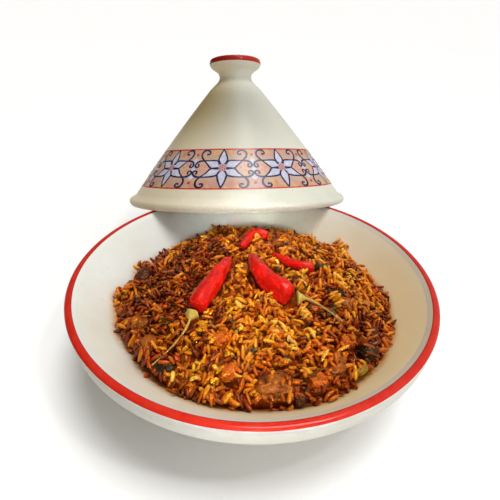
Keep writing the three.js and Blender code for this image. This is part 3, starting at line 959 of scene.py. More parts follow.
class BandPainting:
    """Strokes and fields laid on the lid's cone."""

    def __init__(self, flowers, first):
        self.flowers = flowers
        self.first = first
        self.field = 2 * math.pi / flowers
        self.width = self.field * cone_radius((BAND_LOW + BAND_HIGH) / 2)
        self.slant = (BAND_HIGH - BAND_LOW) * math.hypot(1, CONE_SLOPE)

    def on_cone(self, across, up, lift):
        """A place in the band as a point on the cone, lifted off it."""
        height = BAND_LOW + (BAND_HIGH - BAND_LOW) * np.asarray(up)
        angle = self.first + self.field * np.asarray(across)
        radius = cone_radius(height) + lift
        return np.stack([radius * np.sin(angle), -radius * np.cos(angle), height + lift * 0.6],
                        axis=-1)

    def in_millimetres(self, line):
        """A line's places as lengths on the cone."""
        return np.asarray(line, float) * np.array([self.width, self.slant])

    def stroke(self, line, half_widths, lift, count):
        """A flat brush stroke along a line: points and quads."""
        fine = smooth_line(self.in_millimetres(line), count)
        forward = np.gradient(fine, axis=0)
        forward /= np.linalg.norm(forward, axis=1, keepdims=True)
        side = np.stack([-forward[:, 1], forward[:, 0]], axis=1)
        half = np.interp(np.linspace(0, 1, count), np.linspace(0, 1, len(half_widths)),
                         half_widths)[:, None]
        scale = np.array([self.width, self.slant])
        places = np.concatenate([(fine - side * half) / scale, fine / scale,
                                 (fine + side * half) / scale])
        return self.on_cone(places[:, 0], places[:, 1], lift), strip_quads(count)[:, ::-1]

    def leaf(self, first, second, lift):
        """The field between two edges that start side by side and meet at the tip."""
        count = 16
        a = smooth_line(self.in_millimetres(first), count)
        b = smooth_line(self.in_millimetres(second), count)
        places = np.concatenate([a, (a + b) / 2, b]) / [self.width, self.slant]
        return self.on_cone(places[:, 0], places[:, 1], lift), strip_quads(count)

    def field_inside(self, outline, lift):
        """The field inside an outline, in rings about its middle."""
        line = smooth_line(self.in_millimetres([*outline, outline[0]]), 49)[:-1]
        middle = line.mean(axis=0)
        shares = (0.25, 0.5, 0.75, 1.0)
        rings = [middle + (line - middle) * share for share in shares]
        places = np.concatenate([[middle], *rings]) / [self.width, self.slant]
        count = len(line)
        k = np.arange(count)
        after = (k + 1) % count
        triangles = [np.stack([np.zeros(count, int), 1 + k, 1 + after], axis=1)]
        for ring in range(len(shares) - 1):
            near = 1 + ring * count
            far = near + count
            triangles.append(np.stack([near + k, far + k, far + after], axis=1))
            triangles.append(np.stack([near + k, far + after, near + after], axis=1))
        return self.on_cone(places[:, 0], places[:, 1], lift), np.concatenate(triangles)

    def dot(self, across, up, radius, lift):
        """A round dot: points and triangles."""
        sides = 12
        angle = np.linspace(0, 2 * np.pi, sides, endpoint=False)
        xs = np.concatenate([[across], across + radius * np.cos(angle) / self.width])
        ys = np.concatenate([[up], up + radius * np.sin(angle) / self.slant])
        k = np.arange(sides)
        fan = np.stack([np.zeros(sides, int), 1 + k, 1 + (k + 1) % sides], axis=1)
        return self.on_cone(xs, ys, lift), fan

    def ring(self, up, half_width, lift):
        """A line right round the cone."""
        count = 240
        xs = np.tile(np.linspace(0, self.flowers, count, endpoint=False), 2)
        gap = half_width / self.slant
        ys = np.concatenate([np.full(count, up - gap), np.full(count, up + gap)])
        k = np.arange(count)
        after = (k + 1) % count
        quads = np.stack([k, after, count + after, count + k], axis=1)
        return self.on_cone(xs, ys, lift), quads


def facing_out(places, faces):
    """The faces of a shape on the cone, turned to look away from the cone's axis."""
    corners = places[faces[:, :3]]
    normal = np.cross(corners[:, 1] - corners[:, 0], corners[:, 2] - corners[:, 0])
    outward = (normal[:, :2] * corners[:, 0, :2]).sum()
    return faces if outward > 0 else faces[:, ::-1]


def joined(shapes):
    """Shapes of (points, faces) as one list of points and blocks of quads and triangles."""
    points = []
    quads = []
    triangles = []
    start = 0
    for places, faces in shapes:
        turned_faces = facing_out(places, faces) + start
        (quads if faces.shape[1] == 4 else triangles).append(turned_faces)
        points.append(places)
        start += len(places)
    blocks = [(np.concatenate(kind), 0) for kind in (quads, triangles) if kind]
    return np.concatenate(points), blocks


def paint_flower(paint, flower, shapes):
    """One flower's petals and the dots in its middle."""
    def moved(line, sign):
        return [(flower + sign * x, y) for x, y in line]

    pairs = [(moved(edge, 1), moved(edge, -1)) for edge in (UP_EDGE, DOWN_EDGE)]
    for sign in (-1, 1):
        pairs += [(moved(upper, sign), moved(lower, sign)) for upper, lower in SIDE_PETALS]
        for x, y in JOINTS:
            shapes["lines"].append(paint.dot(flower + sign * x, y, 0.95, TOP_DOTS))
    for edges in pairs:
        shapes["petals"].append(paint.leaf(*edges, PETAL_PAINT))
        for edge, lift in zip(edges, PETAL_LINES):
            shapes["lines"].append(paint.stroke(edge, PETAL_STROKE, lift, 28))
    for k in range(MIDDLE_DOTS):
        angle = math.radians(360 / MIDDLE_DOTS * k + 30)
        x = flower + MIDDLE_RADIUS * math.cos(angle) / paint.width
        y = FLOWER_UP + MIDDLE_RADIUS * math.sin(angle) / paint.slant
        shapes["centres"].append(paint.dot(x, y, 0.95, TOP_DOTS))
    shapes["centres"].append(paint.dot(flower, FLOWER_UP, 0.9, TOP_DOTS))


def paint_scrolls(paint, flower, shapes):
    """The scrolls, hearts and dots beside one flower."""
    for sign in (-1, 1):
        for scroll in SCROLLS:
            line = [(flower + sign * x, y) for x, y in scroll]
            shapes["lines"].append(paint.stroke(line, SCROLL_STROKE, SCROLL_LINES, 40))
            shapes["lines"].append(paint.dot(*line[-1], 1.2, TOP_DOTS))
        heart = [(flower + sign * x, y) for x, y in HEART]
        shapes["hearts"].append(paint.field_inside(heart, HEART_WASH))
        for x, y in HEART_DOTS:
            shapes["reds"].append(paint.dot(flower + sign * x, y, 0.5, SMALL_DOTS))
    between = [(flower + x, y) for x, y in BETWEEN_HEARTS]
    shapes["petals"].append(paint.field_inside(between, UNDER_WASH))
    for x, y in FIELD_DOTS:
        shapes["reds"].append(paint.dot(flower + x, y, 1.5, LARGE_DOTS))


def make_lid_painting():
    """Flowers, hearts and scrolls round the lid's band, in a few layers of paint."""
    own = settings().lid
    paint = BandPainting(own.flowers, own.first_flower)
    shapes = {"petals": [], "lines": [], "reds": [], "hearts": [], "centres": []}
    for flower in range(own.flowers):
        paint_flower(paint, flower, shapes)
        paint_scrolls(paint, flower, shapes)
    shapes["edges"] = [paint.ring(up, 0.75, EDGE_LINES) for up in (0.0, 1.0)]
    finishes = {
        "petals": brushed_paint("petal paint", full(own.petal_colour), shade(216, 210, 216)),
        "lines": brushed_paint("scroll paint", full(own.line_colour), shade(56, 66, 112)),
        "reds": brushed_paint("red dots", shade(168, 42, 36), shade(196, 84, 60)),
        "hearts": brushed_paint("heart wash", shade(200, 152, 136), shade(198, 172, 128)),
        "centres": brushed_paint("flower middles", shade(184, 84, 118), shade(206, 140, 160)),
        "edges": brushed_paint("edge lines", full(own.edge_colour), shade(206, 92, 60)),
    }
    for name, parts in shapes.items():
        points, blocks = joined(parts)
        new_piece(f"lid_{name}", lid_in_frame(points), blocks, [finishes[name]])


# ---- chillies, meat and vegetables ----

# The chillies, with their pod's middle line from the stalk end to the tip and their stalk's
# from the calyx out, in the dish's plan. blunt is the tip's share of the pod's radius, and
# seen, where it is given, is the pod's own share of the radius that is kept free for it.
CHILLIES = [
    {
        "name": "chilli_left", "radius": 8.2, "blunt": 0.52, "stalk_radius": 1.0,
        "pod": [(-42, -52), (-37.5, -42), (-32, -28), (-26, -10), (-19.5, 11)],
        "stalk": [(-44, -57.5), (-45, -64), (-46.5, -73), (-51, -81), (-58.5, -90), (-65.5, -99)],
    },
    {
        "name": "chilli_middle", "radius": 9.2, "blunt": 0.46, "stalk_radius": 1.1,
        "pod": [(29, -39), (21, -32), (12, -22), (4.5, -8), (-2.5, 10)],
        "stalk": [(34, -40), (39, -39.5), (45, -41.5), (52, -46), (58.5, -52.5), (66, -60)],
    },
    {
        "name": "chilli_back", "radius": 5.6, "blunt": 0.6,
        "pod": [(14, 61), (6, 63), (-1, 58), (-6, 47), (-11, 33)],
    },
    {
        "name": "chilli_right", "radius": 5.0, "blunt": 0.4, "stalk_radius": 1.8, "seen": 0.9,
        "pod": [(52, 5), (43, 5), (34, 9.5), (25.5, 15.5), (17, 23)],
        "stalk": [(56, 8.5), (58.5, 11), (61, 13.5), (64, 15)],
    },
]
POD_LIFT = 0.5
POD_SIDES = 56
STALK_SIDES = 20
CALYX_LENGTH = 7.0
FADED_POD = "chilli_middle"
GREEN_STALK = "chilli_right"

# Meat and vegetables: name, place in the plan, length, width and height, turn in degrees,
# how square they are cut.
PIECES = [
    ("meat_front", (15, -116), (24, 18, 13), 12, 0.5),
    ("aubergine_front", (31, -121), (11, 8, 8), 75, 0.3),
    ("carrot_front", (43, -111), (12, 10, 9), 30, 0.6),
    ("meat_front_right", (56, -97), (18, 13, 10), 35, 0.4),
    ("olive_right", (82, -79), (16, 12, 9), 40, 0.1),
    ("aubergine_right", (88, -61), (14, 10, 8), 55, 0.3),
    ("bean_right", (73, -97), (14, 6.5, 6), 33, 0.0),
    ("carrot_right", (68, -74), (10, 9, 8), 10, 0.6),
    ("prune_left", (-97, 13), (16, 13, 10), 60, 0.1),
    ("olive_middle", (68, -23), (12, 9.5, 9), 10, 0.0),
    ("meat_right", (74, -34), (18, 11, 9), -15, 0.4),
    ("meat_back", (24, 42), (17, 12, 9), 20, 0.4),
    ("meat_middle", (-8, -4), (12, 9, 8), 70, 0.4),
    ("aubergine_middle", (37, -15), (12, 8, 8), -55, 0.3),
    ("carrot_middle", (17, -73), (10, 8, 7), 20, 0.6),
    ("carrot_left", (-21, -80), (12, 10, 8), 50, 0.6),
    ("carrot_near", (-14, -107), (13, 9, 8), 80, 0.6),
    ("meat_left_near", (-72, -79), (17, 13, 10), -50, 0.4),
    ("meat_left", (-84, -55), (15, 12, 9), -70, 0.4),
    ("olive_left", (-57, -99), (14, 11, 8), -30, 0.1),
]
# How far a piece's middle lies over the heap, as a share of its height.
PIECE_LIFT = 0.12


def over_rice(places, lift, count):
    """A smooth line over the heap at a height above it."""
    places = np.asarray(places, float)
    heights = rice_height(places[:, 0], places[:, 1]) + lift
    return smooth_line(np.column_stack([places, heights]), count)


def pod_shape(share, blunt):
    """Share of a pod's largest radius along it: shoulder, belly and narrowed tip."""
    shoulder = np.minimum(1.04, 0.84 + 1.6 * share)
    taper = 1 - (1 - blunt) * share**1.6
    tip = np.sqrt(np.maximum(0.0, 1 - np.maximum(0, (share - 0.82) / 0.18) ** 2))
    start = np.sqrt(np.maximum(0.0, 1 - np.maximum(0, (0.045 - share) / 0.045) ** 2))
    return shoulder * taper * (0.12 + 0.88 * tip) * (0.25 + 0.75 * start)


def make_pod(chilli, skin, wrinkles, seed):
    """One chilli's pod, softly wrinkled along its length."""
    line = over_rice(chilli["pod"], chilli["radius"] * POD_LIFT, 110)
    rng = np.random.default_rng(seed)
    phases = rng.uniform(0, 2 * np.pi, 7)
    folds = []
    thickness = chilli["radius"] * chilli.get("seen", 1.0)

    def radius_at(share, angle):
        wave = (np.sin(3 * angle + 5 * share + phases[0]) * 0.5
                + np.sin(5 * angle - 9 * share + phases[1]) * np.sin(13 * share + phases[2]) * 0.7
                + np.sin(8 * angle + 16 * share + phases[3]) * np.sin(21 * share + phases[4]) * 0.4
                + np.sin(2 * angle + 24 * share + phases[5]) * 0.35)
        pinch = np.sin(17 * share + 2 * np.sin(angle + phases[6])) * 0.25
        depth = wrinkles * (0.55 + 0.7 * share) * (wave + pinch)
        folds.append(np.broadcast_to(wave, (share.shape[0], angle.shape[1])))
        flat = 1 - 0.07 * np.cos(2 * angle)
        return thickness * pod_shape(share, chilli["blunt"]) * flat * (1 + depth)

    points, quads, fans = tube(line, radius_at, POD_SIDES)
    # painted shade: darker in the pod's folds, and a little at its two ends
    crease_shade = smoothstep(0.35, 1.3, -folds[0]).ravel() * 0.45
    most = 0.7 if chilli["name"] == FADED_POD else 0.21
    faded = most * np.repeat(smoothstep(0.5, 0.8, np.linspace(0, 1, len(line))), POD_SIDES)
    # the last two points close the pod's ends
    tags = {
        "crease_shade": np.concatenate([crease_shade, [0.3, 0.3]]),
        "faded": np.concatenate([faded, [0, 0.3]]),
    }
    node = f"{chilli['name']}_pod"
    new_piece(f"{node}_skin", in_frame(points), [(quads, 0), (fans, 0)], [skin],
              node, tags)


def make_stalk(chilli, finish, seed):
    """Calyx and stalk of one chilli, in one piece as they grow."""
    line = over_rice(chilli["stalk"], chilli["radius"] * POD_LIFT * 0.9, 120)
    length = np.linalg.norm(np.diff(line, axis=0), axis=1).sum()
    calyx = CALYX_LENGTH / length
    phases = np.random.default_rng(seed).uniform(0, 2 * np.pi, 3)

    def radius_at(share, angle):
        past = np.minimum(1, share / calyx)
        flare = chilli["radius"] * 0.5 * (1 - past) ** 1.3
        lobes = 1 + 0.12 * np.cos(5 * angle + phases[0]) * (1 - past)
        ribs = 1 + 0.1 * np.cos(4 * angle + 7 * share + phases[1])
        knots = 1 + 0.14 * np.sin(23 * share + phases[2])
        end = 1 + 0.5 * smoothstep(0.94, 1.0, share)
        slender = 1 - 0.42 * smoothstep(calyx, 0.6, share)
        return chilli["stalk_radius"] * slender * ribs * knots * end + flare * lobes

    points, quads, fans = tube(line, radius_at, STALK_SIDES)
    along = np.repeat(smoothstep(0.0, calyx * 2.4, np.linspace(0, 1, len(line))), STALK_SIDES)
    tags = {"along": np.concatenate([along, [0, 1]])}
    node = f"{chilli['name']}_stalk"
    new_piece(f"{node}_green", in_frame(points), [(quads, 0), (fans, 0)], [finish],
              node, tags)


def squared(points, square):
    """How far each point of a ball is stretched to make it a share of the way to a cube."""
    return 1 + square * (0.8 / np.abs(points).max(axis=1) - 0.8)


def make_lump(entry, form, finish, roughness, fibres):
    """One piece of meat or vegetable, cut, rounded and dented."""
    name, (x, y), size, turn, square = entry
    points, faces = form
    phase = x * 0.7 + y * 0.3
    uneven = 1 + 0.07 * np.sin(3.1 * points[:, 0] + 2.3 * points[:, 1] + phase)
    dent = 1 + 0.05 * np.cos(4.3 * points[:, 2] - 2.1 * points[:, 0] + phase * 1.7)
    coarse = np.empty(len(points))
    fine = np.empty(len(points))
    for i, p in enumerate(points):
        q = Vector((p[0] * 1.6 / fibres + phase, p[1] * 1.6, p[2] * 1.6))
        coarse[i] = noise.noise(q)
        fine[i] = noise.fractal(q * 3.5, 0.9, 2.0, 3)
    relief = 1 + roughness * (0.9 * coarse + 0.55 * fine)
    stretch = squared(points, square) * uneven * dent * relief
    shaped = points * stretch[:, None] * np.array(size) / 2
    spin = np.array(Matrix.Rotation(math.radians(turn), 3, "Z"))
    middle = np.array([x, y, float(rice_height(x, y)) + size[2] * PIECE_LIFT])
    # painted shade: darker where the surface is dented in
    hollow = smoothstep(0.05, 0.55, -(0.8 * coarse + 0.6 * fine)) * 0.8
    new_piece(f"{name}_piece", in_frame(shaped @ spin.T + middle), [(faces, 0)], [finish],
              name, {"hollow": hollow})


def make_toppings():
    """The chillies and the pieces of meat and vegetable."""
    own = settings().toppings
    skin = chilli_skin("chilli skin", full(own.skin_colour))
    pale = stalk_finish("pale stalk", shade(206, 178, 84), shade(196, 150, 78))
    green = stalk_finish("green stalk", shade(52, 58, 28), shade(84, 82, 34))
    for number, chilli in enumerate(CHILLIES):
        make_pod(chilli, skin, own.wrinkles, own.seed + number)
        if "stalk" in chilli:
            finish = green if chilli["name"] == GREEN_STALK else pale
            make_stalk(chilli, finish, own.seed + 20 + number)
    form = ball(5)
    # by the first word of a piece's name: finish, depth of relief, length of its fibres
    looks = {
        "meat": (cooked("stewed meat", shade(180, 96, 24), shade(128, 58, 12), shade(66, 22, 5),
                        fibres=(1.0, 0.35, 1.0)), 0.3, 2.2),
        "aubergine": (cooked("aubergine", shade(62, 22, 12), shade(84, 36, 12), shade(28, 9, 6),
                             gloss=0.24), 0.22, 1.2),
        "carrot": (cooked("carrot", shade(212, 104, 16), shade(190, 78, 10), shade(120, 40, 5),
                          scale=220.0), 0.2, 1.0),
        "olive": (cooked("olive", shade(52, 34, 14), shade(32, 22, 11), shade(14, 9, 5),
                         gloss=0.2), 0.16, 1.0),
        "bean": (cooked("bean", shade(158, 120, 30), shade(134, 98, 24), shade(90, 58, 14)),
                 0.1, 1.8),
        "prune": (cooked("prune", shade(98, 38, 16), shade(66, 22, 10), shade(26, 8, 4),
                         gloss=0.24), 0.22, 1.3),
    }
    for entry in PIECES:
        finish, roughness, fibres = looks[entry[0].split("_")[0]]
        make_lump(entry, form, finish, roughness, fibres)


# ---- the rice ----

# The heights that grains rest on are kept in cells of CELL, out to SPAN from the axis. The
# core reaches CORE_SHARE of the way to the heap's edge. A grain stays where its height over
# the heap is CEILING or less, at the lowest of its tries. Some grains stick up.
CELL = 0.8
SPAN = 140.0
CORE_SHARE = 0.96
CEILING = -0.9
TRIES = 3
UPRIGHT_SHARE = 0.17

# How the heap's colour changes over its plan: place, radius, and how much brighter.
COLOUR_PATCHES = [
    ("left side", (-84, -14), 54, -0.38),
    ("back left", (-58, 45), 36, -0.24),
    ("left front", (-62, -88), 26, -0.12),
    ("left outer clump", (-108, -12), 13, 0.24),
    ("back middle", (0, 56), 26, -0.05),
    ("middle", (14, -60), 38, 0.24),
    ("right middle", (66, -30), 24, -0.1),
    ("bright clump", (75, 1), 12, 0.42),
    ("back right clump", (89, 72), 12, 0.3),
    ("right front", (84, -74), 26, -0.42),
    ("front", (-22, -98), 22, 0.04),
    ("right edge", (112, -34), 14, -0.2),
    # painted shade in a hollow at the front
    ("front hollow", (38, -118), 17, -0.5),
    ("front edge", (0, -118), 16, -0.12),
    # painted shadow under the middle chilli
    ("under middle chilli", (50, -44), 10, -0.3),
    # painted shade beside the back chilli
    ("beside back chilli", (-22, 50), 12, -0.1),
]

# Clumps that stand out of the heap's edge: place, radius and height.
STANDING_CLUMPS = [
    ("left", (-112, -8), 12, 5.5),
    ("back left", (-78, 58), 9, 2.5),
    ("back", (-30, 92), 8, 3.0),
    ("back right", (92, 62), 9, 2.5),
]

# Pieces that lie open. The others are half covered by the rice.
BARE_PIECES = ("olive_middle", "bean_right", "prune_left")


def bell(x, y, place, radius):
    """1 at a place in the plan, falling off to nothing round it."""
    return np.exp(-((x - place[0]) ** 2 + (y - place[1]) ** 2) / radius**2)


def patchiness(x, y, size, seed):
    """Slow random change over the plan, about -1 to 1."""
    rng = np.random.default_rng(seed)
    total = np.zeros_like(x)
    for _ in range(9):
        angle = rng.uniform(0, 2 * np.pi)
        wave = 2 * np.pi / (size * rng.uniform(0.7, 1.8))
        total += np.sin(wave * (x * np.cos(angle) + y * np.sin(angle)) + rng.uniform(0, 2 * np.pi))
    return total / 3


def brightness(x, y):
    """How golden the rice is at a place, about 0 to 1, with painted shade in a few patches."""
    value = np.full_like(x, 0.56)
    for _, place, radius, change in COLOUR_PATCHES:
        value = value + change * bell(x, y, place, radius)
    return value + 0.12 * patchiness(x, y, 26.0, 3) + 0.23 * patchiness(x, y, 10.0, 4)


def clumps(x, y):
    """How far the grains' clumps stand above or below the even heap."""
    share = np.hypot(x, y) / even_outline(np.arctan2(y, x))
    uneven = 2.1 * patchiness(x, y, 17.0, 31) + 1.4 * patchiness(x, y, 9.0, 32)
    uneven = uneven * np.clip(7 * (1 - share), 0, 1)
    for _, place, radius, rise in STANDING_CLUMPS:
        uneven = uneven + rise * bell(x, y, place, radius)
    return uneven


def heap_height(x, y):
    """Height of the heap's top with its clumps, drawn up round the pieces in it."""
    drawn = 0
    for name, place, size, _, _ in PIECES:
        most = 3.0 if name in BARE_PIECES else 0.62 * size[2]
        drawn = drawn + most * bell(x, y, place, 0.55 * size[0])
    return rice_height(x, y) + clumps(x, y) + drawn


def core_height(x, y, layer):
    """Top of the core: the heap's own height less the loose layer."""
    top = heap_height(x, y)
    room = np.maximum(0.5, top - bowl_height(np.hypot(x, y)))
    return top - np.minimum(layer, 0.72 * room)


def make_core(layer):
    """The smaller core under the loose grains, with relief finer than a grain."""
    count = 280
    azimuth = np.linspace(0, 2 * np.pi, count, endpoint=False)
    edge = outline_radius(azimuth)
    even = even_outline(azimuth)

    def ring(share, height):
        radius = share * (even + (edge - even) * share**6 - short_of_front(azimuth))
        x = radius * np.cos(azimuth)
        y = radius * np.sin(azimuth)
        return np.stack([x, y, height(x, y)], axis=1)

    def top(x, y):
        return core_height(x, y, layer) + 0.45 * patchiness(x, y, 4.0, 21)

    def under(x, y):
        return bowl_height(np.hypot(x, y)) + 0.15

    rings = [ring(share, top) for share in np.linspace(0.02, CORE_SHARE, 74)]
    rings += [ring(share, under) for share in (CORE_SHARE, 0.8, 0.5, 0.2)]
    middle = np.zeros(1)
    ends = [[0, 0, float(top(middle, middle)[0])], [0, 0, float(under(middle, middle)[0])]]
    points = np.concatenate([*rings, ends])
    quads = np.concatenate(ring_quads(len(rings), count))
    fans = np.concatenate(end_fans(len(rings), count))
    x, y = points[:, 0], points[:, 1]
    outer = smoothstep(0.88, 0.95, np.hypot(x, y) / even_outline(np.arctan2(y, x)))
    bright = np.clip(brightness(x, y) + 0.6 * outer, 0, 1)
    new_piece("rice_core", in_frame(points), [(quads, 0), (fans, 0)],
              [soaked_core("soaked rice")], "rice_heap", {"bright": bright})


class Surface:
    """What falling grains come to rest on: heights over a fine grid in the plan.

    A grain is a rod that is held up at two of its stations, one on each side of its middle,
    or at the middle itself.
    """

    STATIONS = np.linspace(-1, 1, 7)
    STEEPEST = 1.2

    def __init__(self, layer):
        self.count = int(2 * SPAN / CELL)
        line = (np.arange(self.count) + 0.5) * CELL - SPAN
        self.x, self.y = np.meshgrid(line, line, indexing="ij")
        radius = np.hypot(self.x, self.y)
        azimuth = np.arctan2(self.y, self.x)
        edge = outline_radius(azimuth) - short_of_front(azimuth)
        core = np.where(radius < edge * CORE_SHARE, core_height(self.x, self.y, layer), -99)
        self.height = np.maximum(bowl_height(np.minimum(radius, BOWL_TOP)), core)
        self.kept_free = np.zeros(self.x.shape, bool)
        left = self.STATIONS[:4, None]
        right = self.STATIONS[None, 3:]
        gap = np.where(right - left > 0, right - left, 1)
        self.left_share = np.where(right - left > 0, right / gap, 1.0)
        self.right_share = np.where(right - left > 0, -left / gap, 0.0)
        self.gap = gap

    def keep_free(self, x, y, radius):
        """No grain's middle comes to rest within radius of this place."""
        self.kept_free |= (self.x - x) ** 2 + (self.y - y) ** 2 < radius**2

    def add_lump(self, x, y, size, angle):
        """Adds the top of one of the larger pieces to the heights."""
        along = (self.x - x) * math.cos(angle) + (self.y - y) * math.sin(angle)
        aside = (self.y - y) * math.cos(angle) - (self.x - x) * math.sin(angle)
        share = (along / size[0] * 2) ** 2 + (aside / size[1] * 2) ** 2
        middle = float(rice_height(x, y)) + size[2] * PIECE_LIFT
        top = middle + size[2] / 2 * np.sqrt(np.maximum(0, 1 - share)) - 0.4
        self.height = np.where(share < 1, np.maximum(self.height, top), self.height)

    def at(self, x, y):
        """Grid numbers of a place."""
        return (np.clip(((np.asarray(x) + SPAN) / CELL).astype(int), 0, self.count - 1),
                np.clip(((np.asarray(y) + SPAN) / CELL).astype(int), 0, self.count - 1))

    def rest(self, x, y, angle, half):
        """Height and slope at which a rod comes to rest, or None over a free place."""
        off = self.STATIONS * half
        i, j = self.at(x + off * math.cos(angle), y + off * math.sin(angle))
        if self.kept_free[i[3], j[3]] or self.kept_free[i, j].sum() > 1:
            return None
        heights = self.height[i, j]
        held = heights[:4, None] * self.left_share + heights[None, 3:] * self.right_share
        best = int(held.argmax())
        a, b = divmod(best, 4)
        height = held[a, b]
        if a == 3 and b == 0:
            slopes = (heights - heights[3]) / np.where(off == 0, 1, off)
            right = slopes[4:].max()
            left = slopes[:3].min()
            slope = right if abs(right) < abs(left) else left
        else:
            slope = (heights[3 + b] - heights[a]) / (half * self.gap[a, b])
        return height, max(-self.STEEPEST, min(self.STEEPEST, slope))

    def lay(self, x, y, angle, half, radius, height, slope):
        """Adds a laid rod's top to the heights."""
        reach = half + radius
        i0, j0 = self.at(x - reach, y - reach)
        i1, j1 = self.at(x + reach, y + reach)
        part = (slice(i0, i1 + 1), slice(j0, j1 + 1))
        dx = self.x[part] - x
        dy = self.y[part] - y
        along = dx * math.cos(angle) + dy * math.sin(angle)
        aside = dy * math.cos(angle) - dx * math.sin(angle)
        share = np.clip(np.abs(along) / half, 0, 1)
        width = radius * np.sqrt(np.maximum(0, 1 - share**3.5))
        rise = np.sqrt(np.maximum(width**2 - aside**2, 0))
        inside = (np.abs(aside) < width) & (np.abs(along) < half)
        top = height + radius * 0.9 + slope * along + rise * 0.9
        self.height[part] = np.where(inside, np.maximum(self.height[part], top),
                                     self.height[part])


def grain_form(rng, bend, flat, taper, curl=0.0, length_steps=6, sides=7):
    """One grain of length 2 and radius 1 along X: its points and triangles.

    bend is how far its middle lies aside, flat its height as a share of its width, taper how
    blunt its ends are, and curl how far it is twisted.
    """
    shares = np.sin(np.linspace(-1, 1, length_steps + 2)[1:-1] * np.pi / 2)
    lean = rng.uniform(-0.12, 0.12)
    bump = rng.uniform(0.85, 1.1, length_steps)
    rings = []
    for share, swell in zip(shares, bump):
        radius = (1 - abs(share) ** taper) ** 0.5 * swell * (1 + lean * share)
        angle = np.linspace(0, 2 * np.pi, sides, endpoint=False) + curl * share
        y = radius * np.cos(angle)
        z = radius * flat * np.sin(angle)
        rings.append(np.stack([np.full(sides, share), y, z], axis=1))
    points = np.concatenate([*rings, [[-1, 0, 0]], [[1, 0, 0]]])
    points[:, 1] += bend * (1 - points[:, 0] ** 2) * 4
    k = np.arange(sides)
    after = (k + 1) % sides
    faces = []
    for i in range(length_steps - 1):
        low = i * sides
        high = low + sides
        faces += [np.stack([low + k, high + after, high + k], axis=1),
                  np.stack([low + k, low + after, high + after], axis=1)]
    faces += [fan[:, [0, 2, 1]] for fan in end_fans(length_steps, sides)]
    return points, np.concatenate(faces)


def leaf_form(rng):
    """A scrap of wilted leaf, length 2 along X, thin and crumpled."""
    points, faces = ball(2)
    wave = rng.uniform(0, 2 * np.pi, 4)
    x = points[:, 0]
    y = points[:, 1] * (0.9 + 0.35 * np.sin(3 * x + wave[0]))
    z = points[:, 2] * 0.16 + 0.3 * np.sin(2.6 * x + wave[1]) * np.cos(2.2 * points[:, 1] + wave[2])
    return np.stack([x, y, z], axis=1), faces


def chunk_form(rng):
    """A small crumb of vegetable or meat, length 2 along X."""
    points, faces = ball(2)
    wave = rng.uniform(0, 2 * np.pi, 3)
    bump = 1 + 0.12 * np.sin(4 * points[:, 0] + wave[0]) * np.cos(3 * points[:, 1] + wave[1])
    return points * (squared(points, 0.5) * bump)[:, None], faces


# What is laid in the heap. length and thickness are shares of a usual grain's, spread is
# how much the length varies, and share is about how many there are among a hundred.
LAID = {
    "rice": {"length": 1.0, "thickness": 1.0, "spread": 0.24, "share": 91.5},
    "shreds": {"length": 1.25, "thickness": 0.85, "spread": 0.35, "share": 2.6},
    "leaves": {"length": 0.62, "thickness": 1.25, "spread": 0.4, "share": 2.4},
    "onion": {"length": 1.1, "thickness": 0.95, "spread": 0.3, "share": 1.1},
    "carrot_bits": {"length": 0.66, "thickness": 1.1, "spread": 0.3, "share": 0.8},
    "dark_bits": {"length": 0.55, "thickness": 1.3, "spread": 0.35, "share": 1.6},
    "red_bits": {"length": 0.6, "thickness": 0.9, "spread": 0.3, "share": 0.3},
}
# The levels of brightness at which the grains' tone goes up by one.
TONE_LIMITS = [0.16, 0.32, 0.5, 0.7, 0.94]
TONE_SHIFT = 0.1


def occupy_toppings(surface):
    """Keeps grains off the chillies, and lets them lie against the larger pieces."""
    for chilli in CHILLIES:
        line = over_rice(chilli["pod"], 0, 30)
        for share, (x, y, _) in zip(np.linspace(0, 1, len(line)), line):
            width = chilli["radius"] * float(pod_shape(np.array(share), chilli["blunt"]))
            surface.keep_free(x, y, max(2.0, width * 0.9))
        if "stalk" in chilli:
            for x, y, _ in over_rice(chilli["stalk"], 0, 60)[:8]:
                surface.keep_free(x, y, 3.0)
    for _, (x, y), size, turn, _ in PIECES:
        surface.add_lump(x, y, size, math.radians(turn))


def random_place(rng):
    """A place in the plan within the heap's outline, a little uneven at its edge."""
    azimuth = rng.uniform(0, 2 * np.pi)
    even = float(even_outline(azimuth))
    edge = float(outline_radius(azimuth))
    edge += 0.7 * max(0.0, edge - even) - 2.0 + rng.normal(0, 1.5)
    edge -= float(short_of_front(azimuth))
    away = edge * math.sqrt(rng.uniform(0, 1))
    return away * math.cos(azimuth), away * math.sin(azimuth)


def lowest_rest(surface, half, rng):
    """The lowest of a few random resting places of a rod, or None where none is free.

    Returns its height over the heap, its place, its angle, its own height and its slope.
    """
    best = None
    for _ in range(TRIES):
        x, y = random_place(rng)
        angle = rng.uniform(0, 2 * np.pi)
        found = surface.rest(x, y, angle, half * 0.9)
        if found is None:
            continue
        over = found[0] - float(heap_height(x, y))
        if best is None or over < best[0]:
            best = (over, x, y, angle, *found)
    return best


